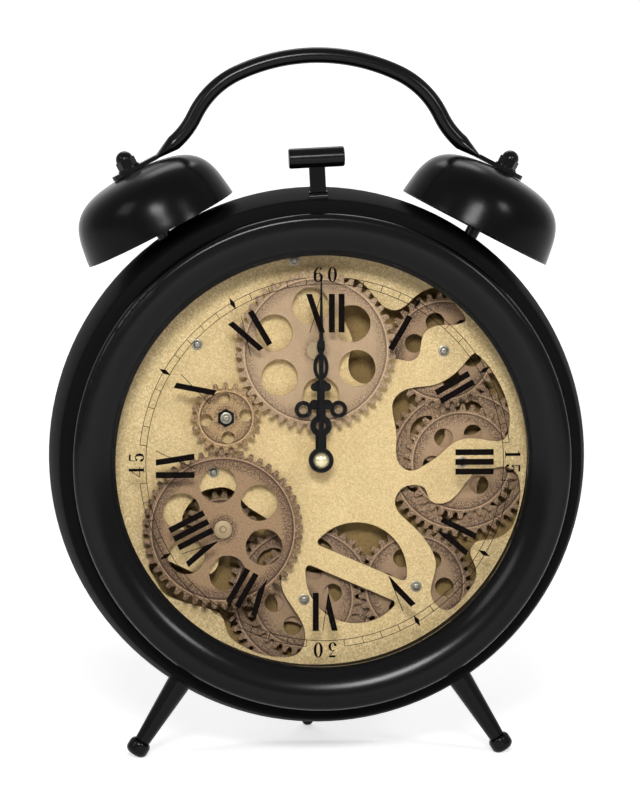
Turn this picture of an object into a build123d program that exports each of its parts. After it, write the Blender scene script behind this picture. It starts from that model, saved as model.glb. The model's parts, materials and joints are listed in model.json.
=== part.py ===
from build123d import *
import os
from math import atan2, cos, hypot, radians, sin, sqrt

# A free-standing table clock in the shape of a twin-bell alarm clock, with turning gear wheels on its dial.
# X runs to the right as one looks at the dial, Y to the rear and Z up, in millimetres.
# The origin is on the table, under the middle of the clock's depth.
# A depth is a distance back from the front of the bezel. A place on the dial is (x, y) from the dial's axis.

# Bezel, case and back
opening_radius = 116.6
opening_depth = 9.0
bezel_roll = 19.3
bezel_flat = 3.6
bezel_edge = 4.0
bezel_lip = 2.0
sheet = 1.2
case_step = 7.0
case_bulge = 6.0
case_taper = 4.5
case_length = 72.0
case_widest = 43.0
case_edge = 3.0
case_clearance = 16.5
flange_margin = 1.4
rear_flange_width = 11.0
back_overlap = 7.0
access_margin = 8.0
access_corner = 8.0

# Glass and its seals
glass_thickness = 2.4
glass_margin = 7.0
gasket_thickness = 0.8
gasket_width = 4.0
gasket_inset = 0.2

# Dial, board and what spaces them
dial_margin = 2.4
dial_thickness = 1.5
surround_wall = 1.0
board_thickness = 3.0
board_overhang = 8.0
screw_circle_offset = 13.4
board_post_diameter = 8.0
board_post_count = 6
board_post_turn = 15.0
axle_diameter = 6.0
collar_wall = 2.0
collar_play = 0.1

# The windows, wheel places and modules below are drawn for a dial of this radius
drawn_dial_radius = 119.0

# Gears of the front train, on the dial
drawn_front_module = 1.87
large_teeth = 48
idler_teeth = 20
drawn_idler_place = (-53.6, 23.9)
upper_direction = 36.6
lower_direction = -91.7
front_gear_thickness = 2.0
front_gear_lift = 6.0
hub_cap_diameter = 10.2
hub_cap_height = 1.4
stud_diameter = 5.0
stud_collar_wall = 2.0

# Wheels of the rear train, behind the dial
drawn_rear_module = 1.9
pinion_teeth = 20
small_wheel_teeth = 34
great_wheel_teeth = 46
rear_wheel_thickness = 1.5
rear_wheel_gap = 1.5
rear_last_gap = 4.5
bottom_direction = -41.7
lower_right_direction = 6.2
right_direction = 69.8
upper_right_direction = 99.5

# Tooth forms: shares of a tooth's height, each with the share of the pitch that the tooth fills there
tooth_form = ((0.0, 0.84), (0.06, 0.73), (0.2, 0.61), (0.88, 0.406), (1.0, 0.27))
train_form = ((0.0, 0.72), (0.34, 0.53), (1.0, 0.16))

# Heights of the teeth above and below the pitch circle, in modules
large_tip, large_root = 0.43, 1.54
idler_tip, idler_root = 0.7, 1.12
small_tip, small_root = 0.4, 1.53
great_tip, great_root = 0.1, 1.74
pinion_tip, pinion_root = 0.68, 1.5
train_tip, train_root = 0.75, 1.3

# Holes in the wheels: their count, and their circle's and own radius in modules
large_holes = (6, 13.7, 5.62)
idler_holes = (4, 6.0, 1.95)
great_holes = (6, 13.2, 5.26)
small_holes = (6, 8.95, 2.84)

# Sunk face of each wheel, between its rim and the boss round its bore
rim_width = 1.7
boss_margin = 1.0
face_sink = 0.4

# Hands
hand_thickness = 1.0
hand_gap = 2.0
hand_to_gear = 2.2
hand_nut_height = 3.2
hand_nut_diameter = 9.2
hand_hub_diameter = 14.0
minute_hand_margin = 12.6
hour_hand_shorter = 35.0
drawn_hour_length = 69.0
needle_root_width = 3.4
needle_waist_width = 2.4
needle_tip_width = 0.7
bead_width = 4.0
bead_length = 6.0
glass_to_nut = 1.0

# Movement and its cell
arbor_diameter = 3.0
hour_tube_diameter = 5.0
bush_diameter = 8.0
bush_reach = 7.0
bush_nut_diameter = 17.0
bush_nut_thickness = 2.0
plastic_wall = 1.6
plastic_corner = 3.0
cell_diameter = 14.2
cell_length = 50.0
cell_button_diameter = 5.5
cell_button_height = 1.2
cell_end_play = 1.4
cell_side_play = 0.8
contact_size = 9.0
contact_thickness = 0.4
train_module = 0.4
cannon_teeth = 15
minute_wheel_teeth = 45
minute_pinion_teeth = 12
hour_wheel_teeth = 48
train_wheel_thickness = 1.2
train_gap = 1.0
train_arbor_diameter = 2.0
bridge_thickness = 1.2
bridge_width = 42.0
bridge_height = 24.0
bridge_post_diameter = 5.0
bridge_post_spread = 34.0
circuit_width = 8.0
circuit_height = 22.0
circuit_thickness = 1.0
coil_diameter = 5.0
coil_length = 14.0
setting_knob_diameter = 11.0
setting_knob_height = 4.0
setting_knob_gap = 0.6
knob_flute_count = 12
knob_flute_radius = 0.9

# Gear drive on the board's rear
drive_width = 40.0
drive_height = 44.0
drive_depth = 19.0
drive_bush_wall = 2.0
drive_shaft_diameter = 5.0
drive_shaft_reach = 4.0
motor_diameter = 16.0
gearbox_play = 1.0
unit_gap = 2.0
holder_offset = 8.0

# Legs
leg_angle = 32.3
leg_setback = 13.0
leg_root_diameter = 14.0
leg_neck_diameter = 8.3
knob_diameter = 12.6
knob_length = 9.7
knob_round = 3.5
foot_flat = 0.4
leg_stud_diameter = 8.0
leg_nut_across = 13.0
leg_nut_height = 5.0
stud_end = 2.0
rear_leg_diameter = 7.0
rear_leg_margin = 24.0
rear_leg_run = 15.0
rear_leg_bend = 14.0
rear_leg_spread = 23.8

# Bells, handle and hammer
bell_setback = 29.0
bell_direction = 34.5
bell_gap = 4.6
bell_tilt = 27.5
bell_radius = 46.0
bell_height = 36.2
bell_wall = 1.4
bell_crown_sag = 0.25
bell_post_diameter = 8.0
bell_thread_diameter = 6.0
bell_nut_across = 10.0
bell_nut_height = 5.0
bell_washer_diameter = 13.0
bell_washer_thickness = 1.0
acorn_hex_height = 4.6
acorn_height = 9.6
acorn_roof = 3.4
handle_diameter = 9.0
handle_wall = 1.2
handle_shoulder_bend = 51.0
handle_foot_bend = 46.0
handle_crown_turn = 25.0
handle_side_turn = 64.4
handle_foot_turn = 40.0
handle_foot_reach = 29.0
handle_foot_rise = 3.6
tab_thickness = 2.5
tab_width = 15.0
tab_inner_reach = 17.0
tab_outer_reach = 11.0
hammer_setback = 5.0
hammer_rise = 22.2
hammer_offset = -1.6
hammer_lean = 2.8
hammer_length = 31.4
hammer_diameter = 11.4
hammer_chamfer = 0.7
hammer_stem_width = 9.0
hammer_stem_thickness = 3.0
weld_diameter = 6.4
weld_overlap = 0.75

# Fasteners and fits
screw_diameter = 3.0
screw_head_diameter = 5.2
screw_head_height = 1.8
screw_length = 8.0
short_screw_length = 5.0
washer_diameter = 7.0
washer_thickness = 0.5
bezel_screw_diameter = 4.0
bezel_screw_head_diameter = 7.0
bezel_boss_diameter = 9.0
bezel_screw_count = 6
hole_clearance = 0.2
thread_gap = 0.05
running_gap = 0.06
seat_gap = 0.3
cut_over = 1.0

# Radii of the bezel and the case
crest_radius = opening_radius + sqrt(bezel_roll ** 2 - (bezel_roll - opening_depth) ** 2)
bezel_radius = crest_radius + bezel_flat + bezel_edge
case_front_radius = bezel_radius + case_step
case_middle_radius = case_front_radius + case_bulge
case_rear_radius = case_middle_radius - case_taper
screw_circle = opening_radius + screw_circle_offset
axis_height = case_middle_radius + case_clearance

# Depths, from the front to the rear
lip_depth = opening_depth + bezel_lip
glass_front = lip_depth + gasket_thickness
glass_rear = glass_front + glass_thickness
bezel_depth = glass_rear + gasket_thickness
nut_front = glass_rear + glass_to_nut
minute_front = nut_front + hand_nut_height
hour_front = minute_front + hand_thickness + hand_gap
hub_cap_front = hour_front + hand_thickness + hand_to_gear
front_gear_front = hub_cap_front + hub_cap_height
front_gear_back = front_gear_front + front_gear_thickness
dial_depth = front_gear_back + front_gear_lift
dial_rear = dial_depth + dial_thickness
rear_level_step = rear_wheel_thickness + rear_wheel_gap
board_front = dial_rear + 3 * rear_level_step + rear_last_gap
board_rear = board_front + board_thickness
flange_rear = bezel_depth + sheet
rear_depth = bezel_depth + case_length
cover_rear = rear_depth + sheet
leg_depth = bezel_depth + leg_setback
hammer_depth = bezel_depth + hammer_setback
top_depth = bezel_depth + bell_setback
rear_foot_depth = cover_rear + rear_leg_run + rear_leg_spread
front_most = min(0, top_depth - bell_radius)
middle_depth = (front_most + rear_foot_depth + rear_leg_diameter / 2) / 2

# Diameters of holes and bores for the fasteners and shafts
screw_hole = screw_diameter + hole_clearance
screw_bore = screw_diameter + 2 * thread_gap
bell_hole = bell_thread_diameter + hole_clearance
bell_bore = bell_thread_diameter + 2 * thread_gap
leg_hole = leg_stud_diameter + hole_clearance
shaft_bore = drive_shaft_diameter + 2 * running_gap

DIAL = Pos(0, -middle_depth, axis_height) * Rot(90, 0, 0)
nodes = {}


# Helpers for the frame and for plain shapes
def polar(start, distance, angle):
    return (start[0] + distance * cos(radians(angle)), start[1] + distance * sin(radians(angle)))


def slab(sketch, front, back):
    """A flat piece between two depths."""
    return Pos(0, 0, -back) * extrude(sketch, amount=back - front, dir=(0, 0, 1))


def disc(diameter, front, back, place=(0, 0)):
    return Pos(place[0], place[1], -(front + back) / 2) * Cylinder(diameter / 2, back - front)


def tube(outer, inner, front, back, place=(0, 0)):
    return disc(outer, front, back, place) - disc(inner, front - cut_over, back + cut_over, place)


def bar(diameter, low, high):
    """A round bar along local Y."""
    return Pos(0, (low + high) / 2, 0) * Rot(90, 0, 0) * Cylinder(diameter / 2, high - low)


def hex_nut(across, bore, low, high):
    """A hexagon nut along local Y."""
    face = RegularPolygon(across / 2, 6, major_radius=False) - Circle(bore / 2)
    return Pos(0, high, 0) * Rot(90, 0, 0) * extrude(face, amount=high - low, dir=(0, 0, 1))


def at(radius, depth):
    return (radius, 0, -depth)


def turned(*edges):
    """A solid turned about the dial's axis from edges through points given by at()."""
    return revolve(make_face(edges), axis=Axis.Z)


def ring_places(count, radius, first=0.0):
    return [polar((0, 0), radius, first + index * 360 / count) for index in range(count)]


def drilled(solid, diameter, front, back, places):
    for place in places:
        solid -= disc(diameter, front - cut_over, back + cut_over, place)
    return solid


def add(name, shape):
    nodes[name] = DIAL * shape


def add_group(name, shapes):
    nodes[name] = Compound([solid for shape in shapes for solid in (DIAL * shape).solids()])


def screw(place, seat, length, diameter, head, washer, forward):
    """A pan-head screw seated at a depth, with its shank running to the front or to the rear."""
    way = -1 if forward else 1
    rim = washer_thickness if washer else 0
    pieces = [(head, seat - way * (rim + screw_head_height), seat - way * rim)]
    pieces.append((diameter, seat - way * rim, seat + way * length))
    if washer:
        pieces.append((washer_diameter, seat - way * rim, seat))
    solids = [disc(size, min(one, two), max(one, two), place) for size, one, two in pieces]
    return solids[0].fuse(*solids[1:])


# Barrel curve of the case, an arc through its front, its widest circle and its rear
def case_arc():
    (ax, ay) = (case_front_radius, bezel_depth)
    (bx, by) = (case_middle_radius, bezel_depth + case_widest)
    (cx, cy) = (case_rear_radius, rear_depth)
    twice = 2 * (ax * (by - cy) + bx * (cy - ay) + cx * (ay - by))
    a2, b2, c2 = ax * ax + ay * ay, bx * bx + by * by, cx * cx + cy * cy
    ux = (a2 * (by - cy) + b2 * (cy - ay) + c2 * (ay - by)) / twice
    uy = (a2 * (cx - bx) + b2 * (ax - cx) + c2 * (bx - ax)) / twice
    return ux, uy, hypot(ax - ux, ay - uy)


def case_radius(depth, inset=0.0):
    centre_radius, centre_depth, bend = case_arc()
    return centre_radius + sqrt((bend - inset) ** 2 - (depth - centre_depth) ** 2)


def barrel(inset):
    """The case as a full solid, inset from its outer surface all round."""
    front, rear = bezel_depth + inset, rear_depth - inset
    middle = (front + rear) / 2
    start, half, end = (at(case_radius(depth, inset), depth) for depth in (front, middle, rear))
    solid = turned(ThreePointArc(start, half, end), Polyline(end, at(0, rear), at(0, front), start))
    return fillet(solid.edges().filter_by(GeomType.CIRCLE), case_edge - inset)


case_outer = barrel(0)


# Frames of the legs and bells
def leg_frame(side):
    """Local Y points from the dial's axis out along a front leg."""
    return Pos(0, 0, -leg_depth) * Rot(0, 0, 180 + side * leg_angle)


bell_place = polar((0, 0), case_radius(top_depth) + bell_gap, 90 - bell_direction)


def bell_frame(side):
    """Local Y points up the bell's axis from the middle of its mouth."""
    return Pos(side * bell_place[0], bell_place[1], -top_depth) * Rot(0, 0, -side * bell_tilt)


# Toothed wheels
def toothed_face(teeth, module, tip, root, phase, form):
    """Outline of a gear with teeth of the given form, one of them centred at the phase angle."""
    root_radius = module * (teeth / 2 - root)
    height = module * (root + tip)
    flank = [(root_radius + share * height, filled * 180 / teeth) for share, filled in form]
    points = []
    for index in range(teeth):
        middle = phase + index * 360 / teeth
        points += [polar((0, 0), radius, middle - half) for radius, half in flank]
        points += [polar((0, 0), radius, middle + half) for radius, half in reversed(flank)]
    return make_face(Polyline(*points, close=True))


def wheel(place, teeth, module, tip, root, phase, front, thickness, bore, holes=None, form=tooth_form):
    """A toothed wheel. Its holes are a count, their circle and radius in modules, and a first angle."""
    face = toothed_face(teeth, module, tip, root, phase, form) - Circle(bore / 2)
    if holes:
        count, circle, radius, first = holes
        for x, y in ring_places(count, circle * module, first):
            face -= Pos(x, y) * Circle(radius * module)
    return Pos(place[0], place[1], 0) * slab(face, front, front + thickness)


def sunk(solid, place, teeth, module, root, front):
    """Sinks a wheel's face a little, between its rim and the boss round its bore."""
    inside_rim = module * (teeth - 2 * root) - 2 * rim_width
    boss = hub_cap_diameter + 2 * boss_margin
    return solid - tube(inside_rim, boss, front - cut_over, front + face_sink, place)


def meshed_phase(phase, teeth, direction, other_teeth):
    """Phase of the second wheel, whose gap meets the tooth of the first across their line of centres."""
    lag = (direction - phase) % (360 / teeth)
    return direction + 180 + lag * teeth / other_teeth + 180 / other_teeth


def level(index):
    """Depth of the front of a rear wheel, counted from the dial."""
    return dial_rear + rear_wheel_gap + index * rear_level_step


# Places on the dial, with each wheel set by its neighbour and their centre distance
dial_radius = opening_radius + dial_margin
dial_scale = dial_radius / drawn_dial_radius
front_module = drawn_front_module * dial_scale
rear_module = drawn_rear_module * dial_scale


def on_dial(x, y):
    return (x * dial_scale, y * dial_scale)


front_distance = front_module * (large_teeth + idler_teeth) / 2
pinion_distance = rear_module * (pinion_teeth + great_wheel_teeth) / 2
small_distance = rear_module * small_wheel_teeth
great_distance = rear_module * (small_wheel_teeth + great_wheel_teeth) / 2
idler_place = on_dial(*drawn_idler_place)
upper_place = polar(idler_place, front_distance, upper_direction)
lower_place = polar(idler_place, front_distance, lower_direction)
bottom_place = polar(lower_place, pinion_distance, bottom_direction)
lower_right_place = polar(bottom_place, small_distance, lower_right_direction)
right_place = polar(lower_right_place, great_distance, right_direction)
upper_right_place = polar(right_place, small_distance, upper_right_direction)
axle_places = [upper_right_place, right_place, lower_right_place, bottom_place]
post_places = [on_dial(-69.4, 65.1), on_dial(-60.3, -7.7), on_dial(-14.3, 112.6)]
dial_places = axle_places + post_places
bezel_screw_places = ring_places(bezel_screw_count, screw_circle)
board_post_places = ring_places(board_post_count, screw_circle, board_post_turn)
back_screw_places = ring_places(bezel_screw_count, case_rear_radius - back_overlap, board_post_turn)


# Case drum: a pressed barrel with an inward flange at each end
def case_drum():
    solid = case_outer - barrel(sheet)
    solid -= disc(2 * (opening_radius + flange_margin), 0, flange_rear + cut_over)
    solid -= disc(2 * (case_rear_radius - rear_flange_width), rear_depth - sheet - cut_over, cover_rear)
    front_holes = bezel_screw_places + board_post_places
    solid = drilled(solid, bezel_screw_diameter + hole_clearance, bezel_depth, flange_rear, front_holes)
    solid = drilled(solid, screw_hole, rear_depth - sheet, rear_depth, back_screw_places)
    for side in (-1, 1):
        solid -= leg_frame(side) * bar(leg_hole, 0, case_middle_radius)
        solid -= bell_frame(side) * bar(bell_hole, -case_length / 2, 0)
    return solid


# Front bezel: a rolled ring with a lip for the glass and bosses for its screws
def bezel_outline(inset):
    """Edges of the bezel's front from the lip round to its outer wall, inset from the outer surface."""
    roll = bezel_roll - inset
    inner = opening_radius + inset
    inner_depth = bezel_roll - sqrt(roll ** 2 - (crest_radius - inner) ** 2)
    half = atan2(crest_radius - inner, bezel_roll - inner_depth) / 2
    roll_middle = at(crest_radius - roll * sin(half), bezel_roll - roll * cos(half))
    corner = bezel_radius - bezel_edge
    outer = bezel_radius - inset
    turn = (bezel_edge - inset) * sqrt(0.5)
    return [
        Line(at(inner, lip_depth), at(inner, inner_depth)),
        ThreePointArc(at(inner, inner_depth), roll_middle, at(crest_radius, inset)),
        Line(at(crest_radius, inset), at(corner, inset)),
        ThreePointArc(at(corner, inset), at(corner + turn, bezel_edge - turn), at(outer, bezel_edge)),
        Line(at(outer, bezel_edge), at(outer, bezel_depth)),
    ]


def front_bezel():
    outer = bezel_outline(0)
    lip_edge = Line(at(opening_radius, lip_depth), at(opening_radius + sheet, lip_depth))
    rear_edge = Line(at(bezel_radius, bezel_depth), at(bezel_radius - sheet, bezel_depth))
    shell = turned(*outer, *bezel_outline(sheet), lip_edge, rear_edge)
    rear_line = Line(at(bezel_radius, bezel_depth), at(opening_radius, bezel_depth))
    lip_line = Line(at(opening_radius, bezel_depth), at(opening_radius, lip_depth))
    filled = turned(*outer, rear_line, lip_line)
    for place in bezel_screw_places:
        shell += filled & disc(bezel_boss_diameter, 0, bezel_depth, place)
    bore = bezel_screw_diameter + 2 * thread_gap
    return drilled(shell, bore, bezel_depth - screw_length, bezel_depth, bezel_screw_places)


add("case_drum", case_drum())
add("front_bezel", front_bezel())
case_screws = [
    screw(place, flange_rear, screw_length, bezel_screw_diameter, bezel_screw_head_diameter, False, True)
    for place in bezel_screw_places
]

# Glass clamped between a gasket at the bezel's lip and a backing ring on the case's flange
glass_diameter = 2 * (opening_radius + glass_margin)
gasket_inner = 2 * (opening_radius + gasket_inset)
add("front_glass", disc(glass_diameter, glass_front, glass_rear))
add("glass_gasket", tube(gasket_inner + 2 * gasket_width, gasket_inner, lip_depth, glass_front))
add("glass_backing_ring", tube(glass_diameter, glass_diameter - 2 * gasket_width, glass_rear, bezel_depth))

# Dial surround: the dark wall between the flange and the dial
surround_diameter = 2 * (dial_radius + surround_wall)
add("dial_surround", tube(surround_diameter, 2 * dial_radius, flange_rear, dial_depth))


# Dial plate with its pierced windows
def window(*points):
    return make_face(Spline(*[on_dial(x, y) for x, y in points], periodic=True))


def band_window():
    """A round window crossed by a slanting band."""
    face = Circle(29.2) - Rot(0, 0, -23.6) * Rectangle(80, 12.3)
    face = Pos(21.2, -66.4) * fillet(face.vertices(), 2.5)
    return scale(face, dial_scale)


def dial_plate():
    face = Circle(surround_diameter / 2) - Circle((bush_diameter + hole_clearance) / 2)
    face -= window(
        (17.7, 102.3), (29.1, 94.9), (36.0, 86.9), (42.9, 84.0), (48.0, 85.7), (53.7, 90.9), (60.6, 95.4),
        (67.5, 96.6), (74.3, 91.5), (80.0, 84.6), (83.6, 78.2), (77.1, 75.4), (66.9, 74.9), (60.6, 71.4),
        (58.3, 65.7), (56.0, 57.1), (52.0, 54.9), (45.1, 56.0), (34.9, 52.6), (27.4, 42.3), (20.0, 44.6),
        (16.6, 54.9), (18.9, 65.1), (13.7, 79.4),
    )
    face -= window(
        (44.0, 34.9), (48.6, 38.3), (64.6, 41.1), (76.6, 46.9), (84.6, 55.4), (89.1, 58.9), (92.6, 56.6),
        (100.0, 47.4), (106.3, 34.9), (109.1, 18.3), (106.2, 9.9), (93.7, 9.7), (84.6, 10.3), (77.1, 8.0),
        (69.7, 1.7), (58.9, -5.7), (52.6, -8.0), (46.3, -4.6), (44.0, 14.3),
    )
    face -= window(
        (100.0, -6.9), (107.4, -6.3), (112.6, -9.1), (115.4, -17.7), (114.3, -30.9), (109.1, -42.9),
        (98.3, -48.0), (89.7, -49.7), (86.9, -54.3), (89.1, -61.7), (90.3, -68.6), (85.7, -77.7),
        (78.9, -85.7), (73.7, -88.6), (66.9, -85.1), (64.0, -77.1), (66.9, -62.9), (62.9, -50.9),
        (51.4, -37.7), (43.4, -26.9), (46.3, -18.9), (54.3, -16.0), (60.6, -18.3), (63.4, -24.6),
        (69.7, -26.9), (78.9, -21.7), (86.3, -12.0), (93.1, -7.4),
    )
    face -= band_window()
    face -= window(
        (-57.7, -16.6), (-48.0, -19.4), (-42.3, -26.3), (-31.4, -33.7), (-21.1, -45.1), (-20.0, -59.4),
        (-21.7, -72.6), (-14.9, -86.3), (-8.0, -104.0), (-11.5, -112.0), (-23.4, -114.6), (-44.0, -108.0),
        (-52.0, -101.1), (-56.0, -90.5), (-65.1, -85.7), (-73.7, -83.4), (-81.7, -80.6), (-89.1, -76.6),
        (-94.3, -68.0), (-97.1, -60.4), (-93.7, -57.1), (-86.3, -58.3), (-72.0, -65.1), (-62.9, -66.4),
        (-57.5, -58.0), (-65.1, -50.3), (-76.0, -42.3), (-78.3, -35.4), (-72.0, -23.4), (-65.7, -18.3),
    )
    plate = slab(face, dial_depth, dial_rear)
    return drilled(plate, screw_hole, dial_depth, dial_rear, dial_places + [idler_place, upper_place])


add("dial_plate", dial_plate())


# Screws, axles and posts that hold the dial and the gear board together
def dial_axle(place):
    bore = disc(screw_bore, dial_rear - cut_over, dial_depth + screw_length + cut_over, place)
    return disc(axle_diameter, dial_rear, board_front, place) - bore


def gear_board():
    plate = disc(2 * (screw_circle + board_overhang), board_front, board_rear)
    plate = drilled(plate, bush_diameter + hole_clearance, board_front, board_rear, [(0, 0)])
    drive_hole = drive_shaft_diameter + 2 * drive_bush_wall + hole_clearance
    plate = drilled(plate, drive_hole, board_front, board_rear, [lower_place])
    return drilled(plate, screw_hole, board_front, board_rear, board_post_places)


def board_post(place):
    solid = disc(board_post_diameter, flange_rear, board_front, place)
    solid += disc(bezel_screw_diameter, bezel_depth, flange_rear, place)
    return solid - disc(screw_bore, board_rear - screw_length - cut_over, board_front + cut_over, place)


add_group("dial_screws", [
    screw(place, dial_depth, screw_length, screw_diameter, screw_head_diameter, True, False)
    for place in dial_places
])
add_group("dial_axles", [dial_axle(place) for place in dial_places])
add("gear_board", gear_board())
add_group("board_posts", [board_post(place) for place in board_post_places])
case_screws += [
    screw(place, board_rear, screw_length, screw_diameter, screw_head_diameter, True, True)
    for place in board_post_places
]

# Front train: the idler between the upper and the lower gear
idler_phase = upper_direction
upper_phase = meshed_phase(idler_phase, idler_teeth, upper_direction, large_teeth)
lower_phase = meshed_phase(idler_phase, idler_teeth, lower_direction, large_teeth)
stud_bore = stud_diameter + 2 * running_gap


def front_gear(place, teeth, tip, root, phase, bore, holes):
    front, thickness = front_gear_front, front_gear_thickness
    solid = wheel(place, teeth, front_module, tip, root, phase, front, thickness, bore, holes)
    return sunk(solid, place, teeth, front_module, root, front)


def large_gear(place, phase, bore, turn):
    return front_gear(place, large_teeth, large_tip, large_root, phase, bore, large_holes + (turn,))


add("upper_gear", large_gear(upper_place, upper_phase, stud_bore, 96.5))
add("lower_gear", large_gear(lower_place, lower_phase, drive_shaft_diameter, 96))
idler_shape = (idler_teeth, idler_tip, idler_root, idler_phase)
add("idler_gear", front_gear(idler_place, *idler_shape, stud_bore, idler_holes + (6.5,)))


def gear_stud(place, head_diameter):
    """A shouldered stud on the dial: a collar under the gear, a journal through it and a head over it."""
    collar_front = front_gear_back + thread_gap
    head_rear = front_gear_front - thread_gap
    solid = disc(stud_diameter + 2 * stud_collar_wall, collar_front, dial_depth, place)
    solid += disc(stud_diameter, head_rear, collar_front, place)
    solid += disc(screw_diameter, dial_depth, dial_rear, place)
    return solid + disc(head_diameter, hub_cap_front, head_rear, place)


add("upper_gear_stud", gear_stud(upper_place, hub_cap_diameter))
washer_rear = front_gear_front - thread_gap
idler_washer = disc(washer_diameter, washer_rear - washer_thickness, washer_rear, idler_place)
add("idler_gear_screw", gear_stud(idler_place, screw_head_diameter) + idler_washer)

# Shaft of the lower gear, which carries the pinion behind the dial and reaches back to the gear drive
drive_inner = board_rear + plastic_wall
shaft_end = drive_inner + drive_shaft_reach
lower_shaft = disc(drive_shaft_diameter, front_gear_front, shaft_end, lower_place)
lower_shaft += disc(hub_cap_diameter, hub_cap_front, front_gear_front, lower_place)
lower_shaft += disc(drive_shaft_diameter + 2 * stud_collar_wall, front_gear_back, level(2), lower_place)
add("lower_gear_shaft", lower_shaft)

# Rear train, in three levels behind the dial
def facing_phase(teeth, direction, other_teeth):
    """Phase of a wheel in mesh with one that has a tooth on their line of centres."""
    return meshed_phase(direction, teeth, direction, other_teeth)


great_bottom_phase = facing_phase(pinion_teeth, bottom_direction, great_wheel_teeth)
lower_right_phase = facing_phase(small_wheel_teeth, lower_right_direction, small_wheel_teeth)
great_right_phase = meshed_phase(lower_right_phase, small_wheel_teeth, right_direction, great_wheel_teeth)
upper_right_phase = facing_phase(small_wheel_teeth, upper_right_direction, small_wheel_teeth)
wheel_bore = axle_diameter + 2 * running_gap
hub_diameter = axle_diameter + 2 * collar_wall


def rear_wheel(place, teeth, tip, root, phase, index, bore, holes=None):
    front, thickness = level(index), rear_wheel_thickness
    solid = wheel(place, teeth, rear_module, tip, root, phase, front, thickness, bore, holes)
    return sunk(solid, place, teeth, rear_module, root, front)


def small_wheel(place, phase, index, turn):
    shape = (small_wheel_teeth, small_tip, small_root, phase)
    return rear_wheel(place, *shape, index, wheel_bore, small_holes + (turn,))


def great_wheel(place, phase, index, turn):
    """A great wheel, with the sleeve that joins it to the small wheel in front of it."""
    shape = (great_wheel_teeth, great_tip, great_root, phase)
    solid = rear_wheel(place, *shape, index, wheel_bore, great_holes + (turn,))
    return solid + tube(hub_diameter, wheel_bore, level(index) - rear_wheel_gap, level(index), place)


pinion_shape = (pinion_teeth, pinion_tip, pinion_root, bottom_direction)
add("lower_pinion", rear_wheel(lower_place, *pinion_shape, 2, drive_shaft_diameter))
add("bottom_great_wheel", great_wheel(bottom_place, great_bottom_phase, 2, 12))
add("bottom_small_wheel", small_wheel(bottom_place, lower_right_direction, 1, 9))
add("lower_right_wheel", small_wheel(lower_right_place, lower_right_phase, 1, 55))
add("right_great_wheel", great_wheel(right_place, great_right_phase, 1, 20))
add("right_small_wheel", small_wheel(right_place, upper_right_direction, 0, 67))
add("upper_right_wheel", small_wheel(upper_right_place, upper_right_phase, 0, 46))


def axle_collars(place, first, last):
    """Rings on an axle that keep its wheels between the dial and the board."""
    front = level(first) - collar_play
    back = level(last) + rear_wheel_thickness + collar_play
    bore = axle_diameter + 2 * thread_gap
    spans = ((dial_rear, front), (back, board_front))
    return [tube(hub_diameter, bore, start, end, place) for start, end in spans]


wheel_levels = [(0, 0), (0, 1), (1, 1), (1, 2)]
collars = []
for place, (first, last) in zip(axle_places, wheel_levels):
    collars += axle_collars(place, first, last)
add_group("axle_collars", collars)


# Hands, drawn pointing at twelve
minute_hand_length = opening_radius - minute_hand_margin
hour_hand_length = minute_hand_length - hour_hand_shorter


def hour_hand():
    """A pierced hand: ring, two ears, crown, open leaf and bead, drawn at one length and sized to fit."""
    face = Pos(0, 11) * Rectangle(6.2, 12) + Pos(0, 19.5) * (Circle(6.1) - Circle(2.7))
    face += Pos(0, 27.5) * Rectangle(5.2, 12)
    for side in (-1, 1):
        face += Pos(side * 10, 28.8) * (Circle(4.9) - Circle(2.6))
        face += Pos(side * 3.6, 31.5) * Circle(2.9)
        face += Pos(side * 3.4, 41.5) * Circle(2.4)
    face += Pos(0, 36) * Rectangle(4.4, 8) + Pos(0, 42) * Ellipse(4.2, 3.8)
    face += Pos(0, 53) * (Ellipse(4.3, 7.6) - Ellipse(2.3, 5.4))
    face += Pos(0, 60) * Rectangle(2.2, 4) + Pos(0, 64.5) * Ellipse(2.3, 4.5)
    face = scale(face, hour_hand_length / drawn_hour_length)
    face += Circle(hand_hub_diameter / 2)
    face -= Circle(hour_tube_diameter / 2)
    return slab(face, hour_front, hour_front + hand_thickness)


def minute_hand():
    """A long needle with a bead over the tip of the hour hand."""
    root, waist, tip = needle_root_width / 2, needle_waist_width / 2, needle_tip_width / 2
    right = [(root, 0), (waist, hour_hand_length), (tip, minute_hand_length)]
    left = [(-x, y) for x, y in reversed(right)]
    face = Polygon(*right, *left, align=None) + Circle(hand_hub_diameter / 2)
    face += Pos(0, hour_hand_length - bead_length / 2) * Ellipse(bead_width / 2, bead_length / 2)
    face -= Circle(arbor_diameter / 2)
    return slab(face, minute_front, minute_front + hand_thickness)


def hand_nut():
    dome = scale(Sphere(hand_nut_diameter / 2), (1, 1, 2 * hand_nut_height / hand_nut_diameter))
    solid = Pos(0, 0, -minute_front) * dome & disc(hand_nut_diameter, nut_front - cut_over, minute_front)
    return solid - disc(arbor_diameter, nut_front + hand_thickness, minute_front + cut_over)


add("hour_hand", hour_hand())
add("minute_hand", minute_hand())
add("hand_nut", hand_nut())

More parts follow.
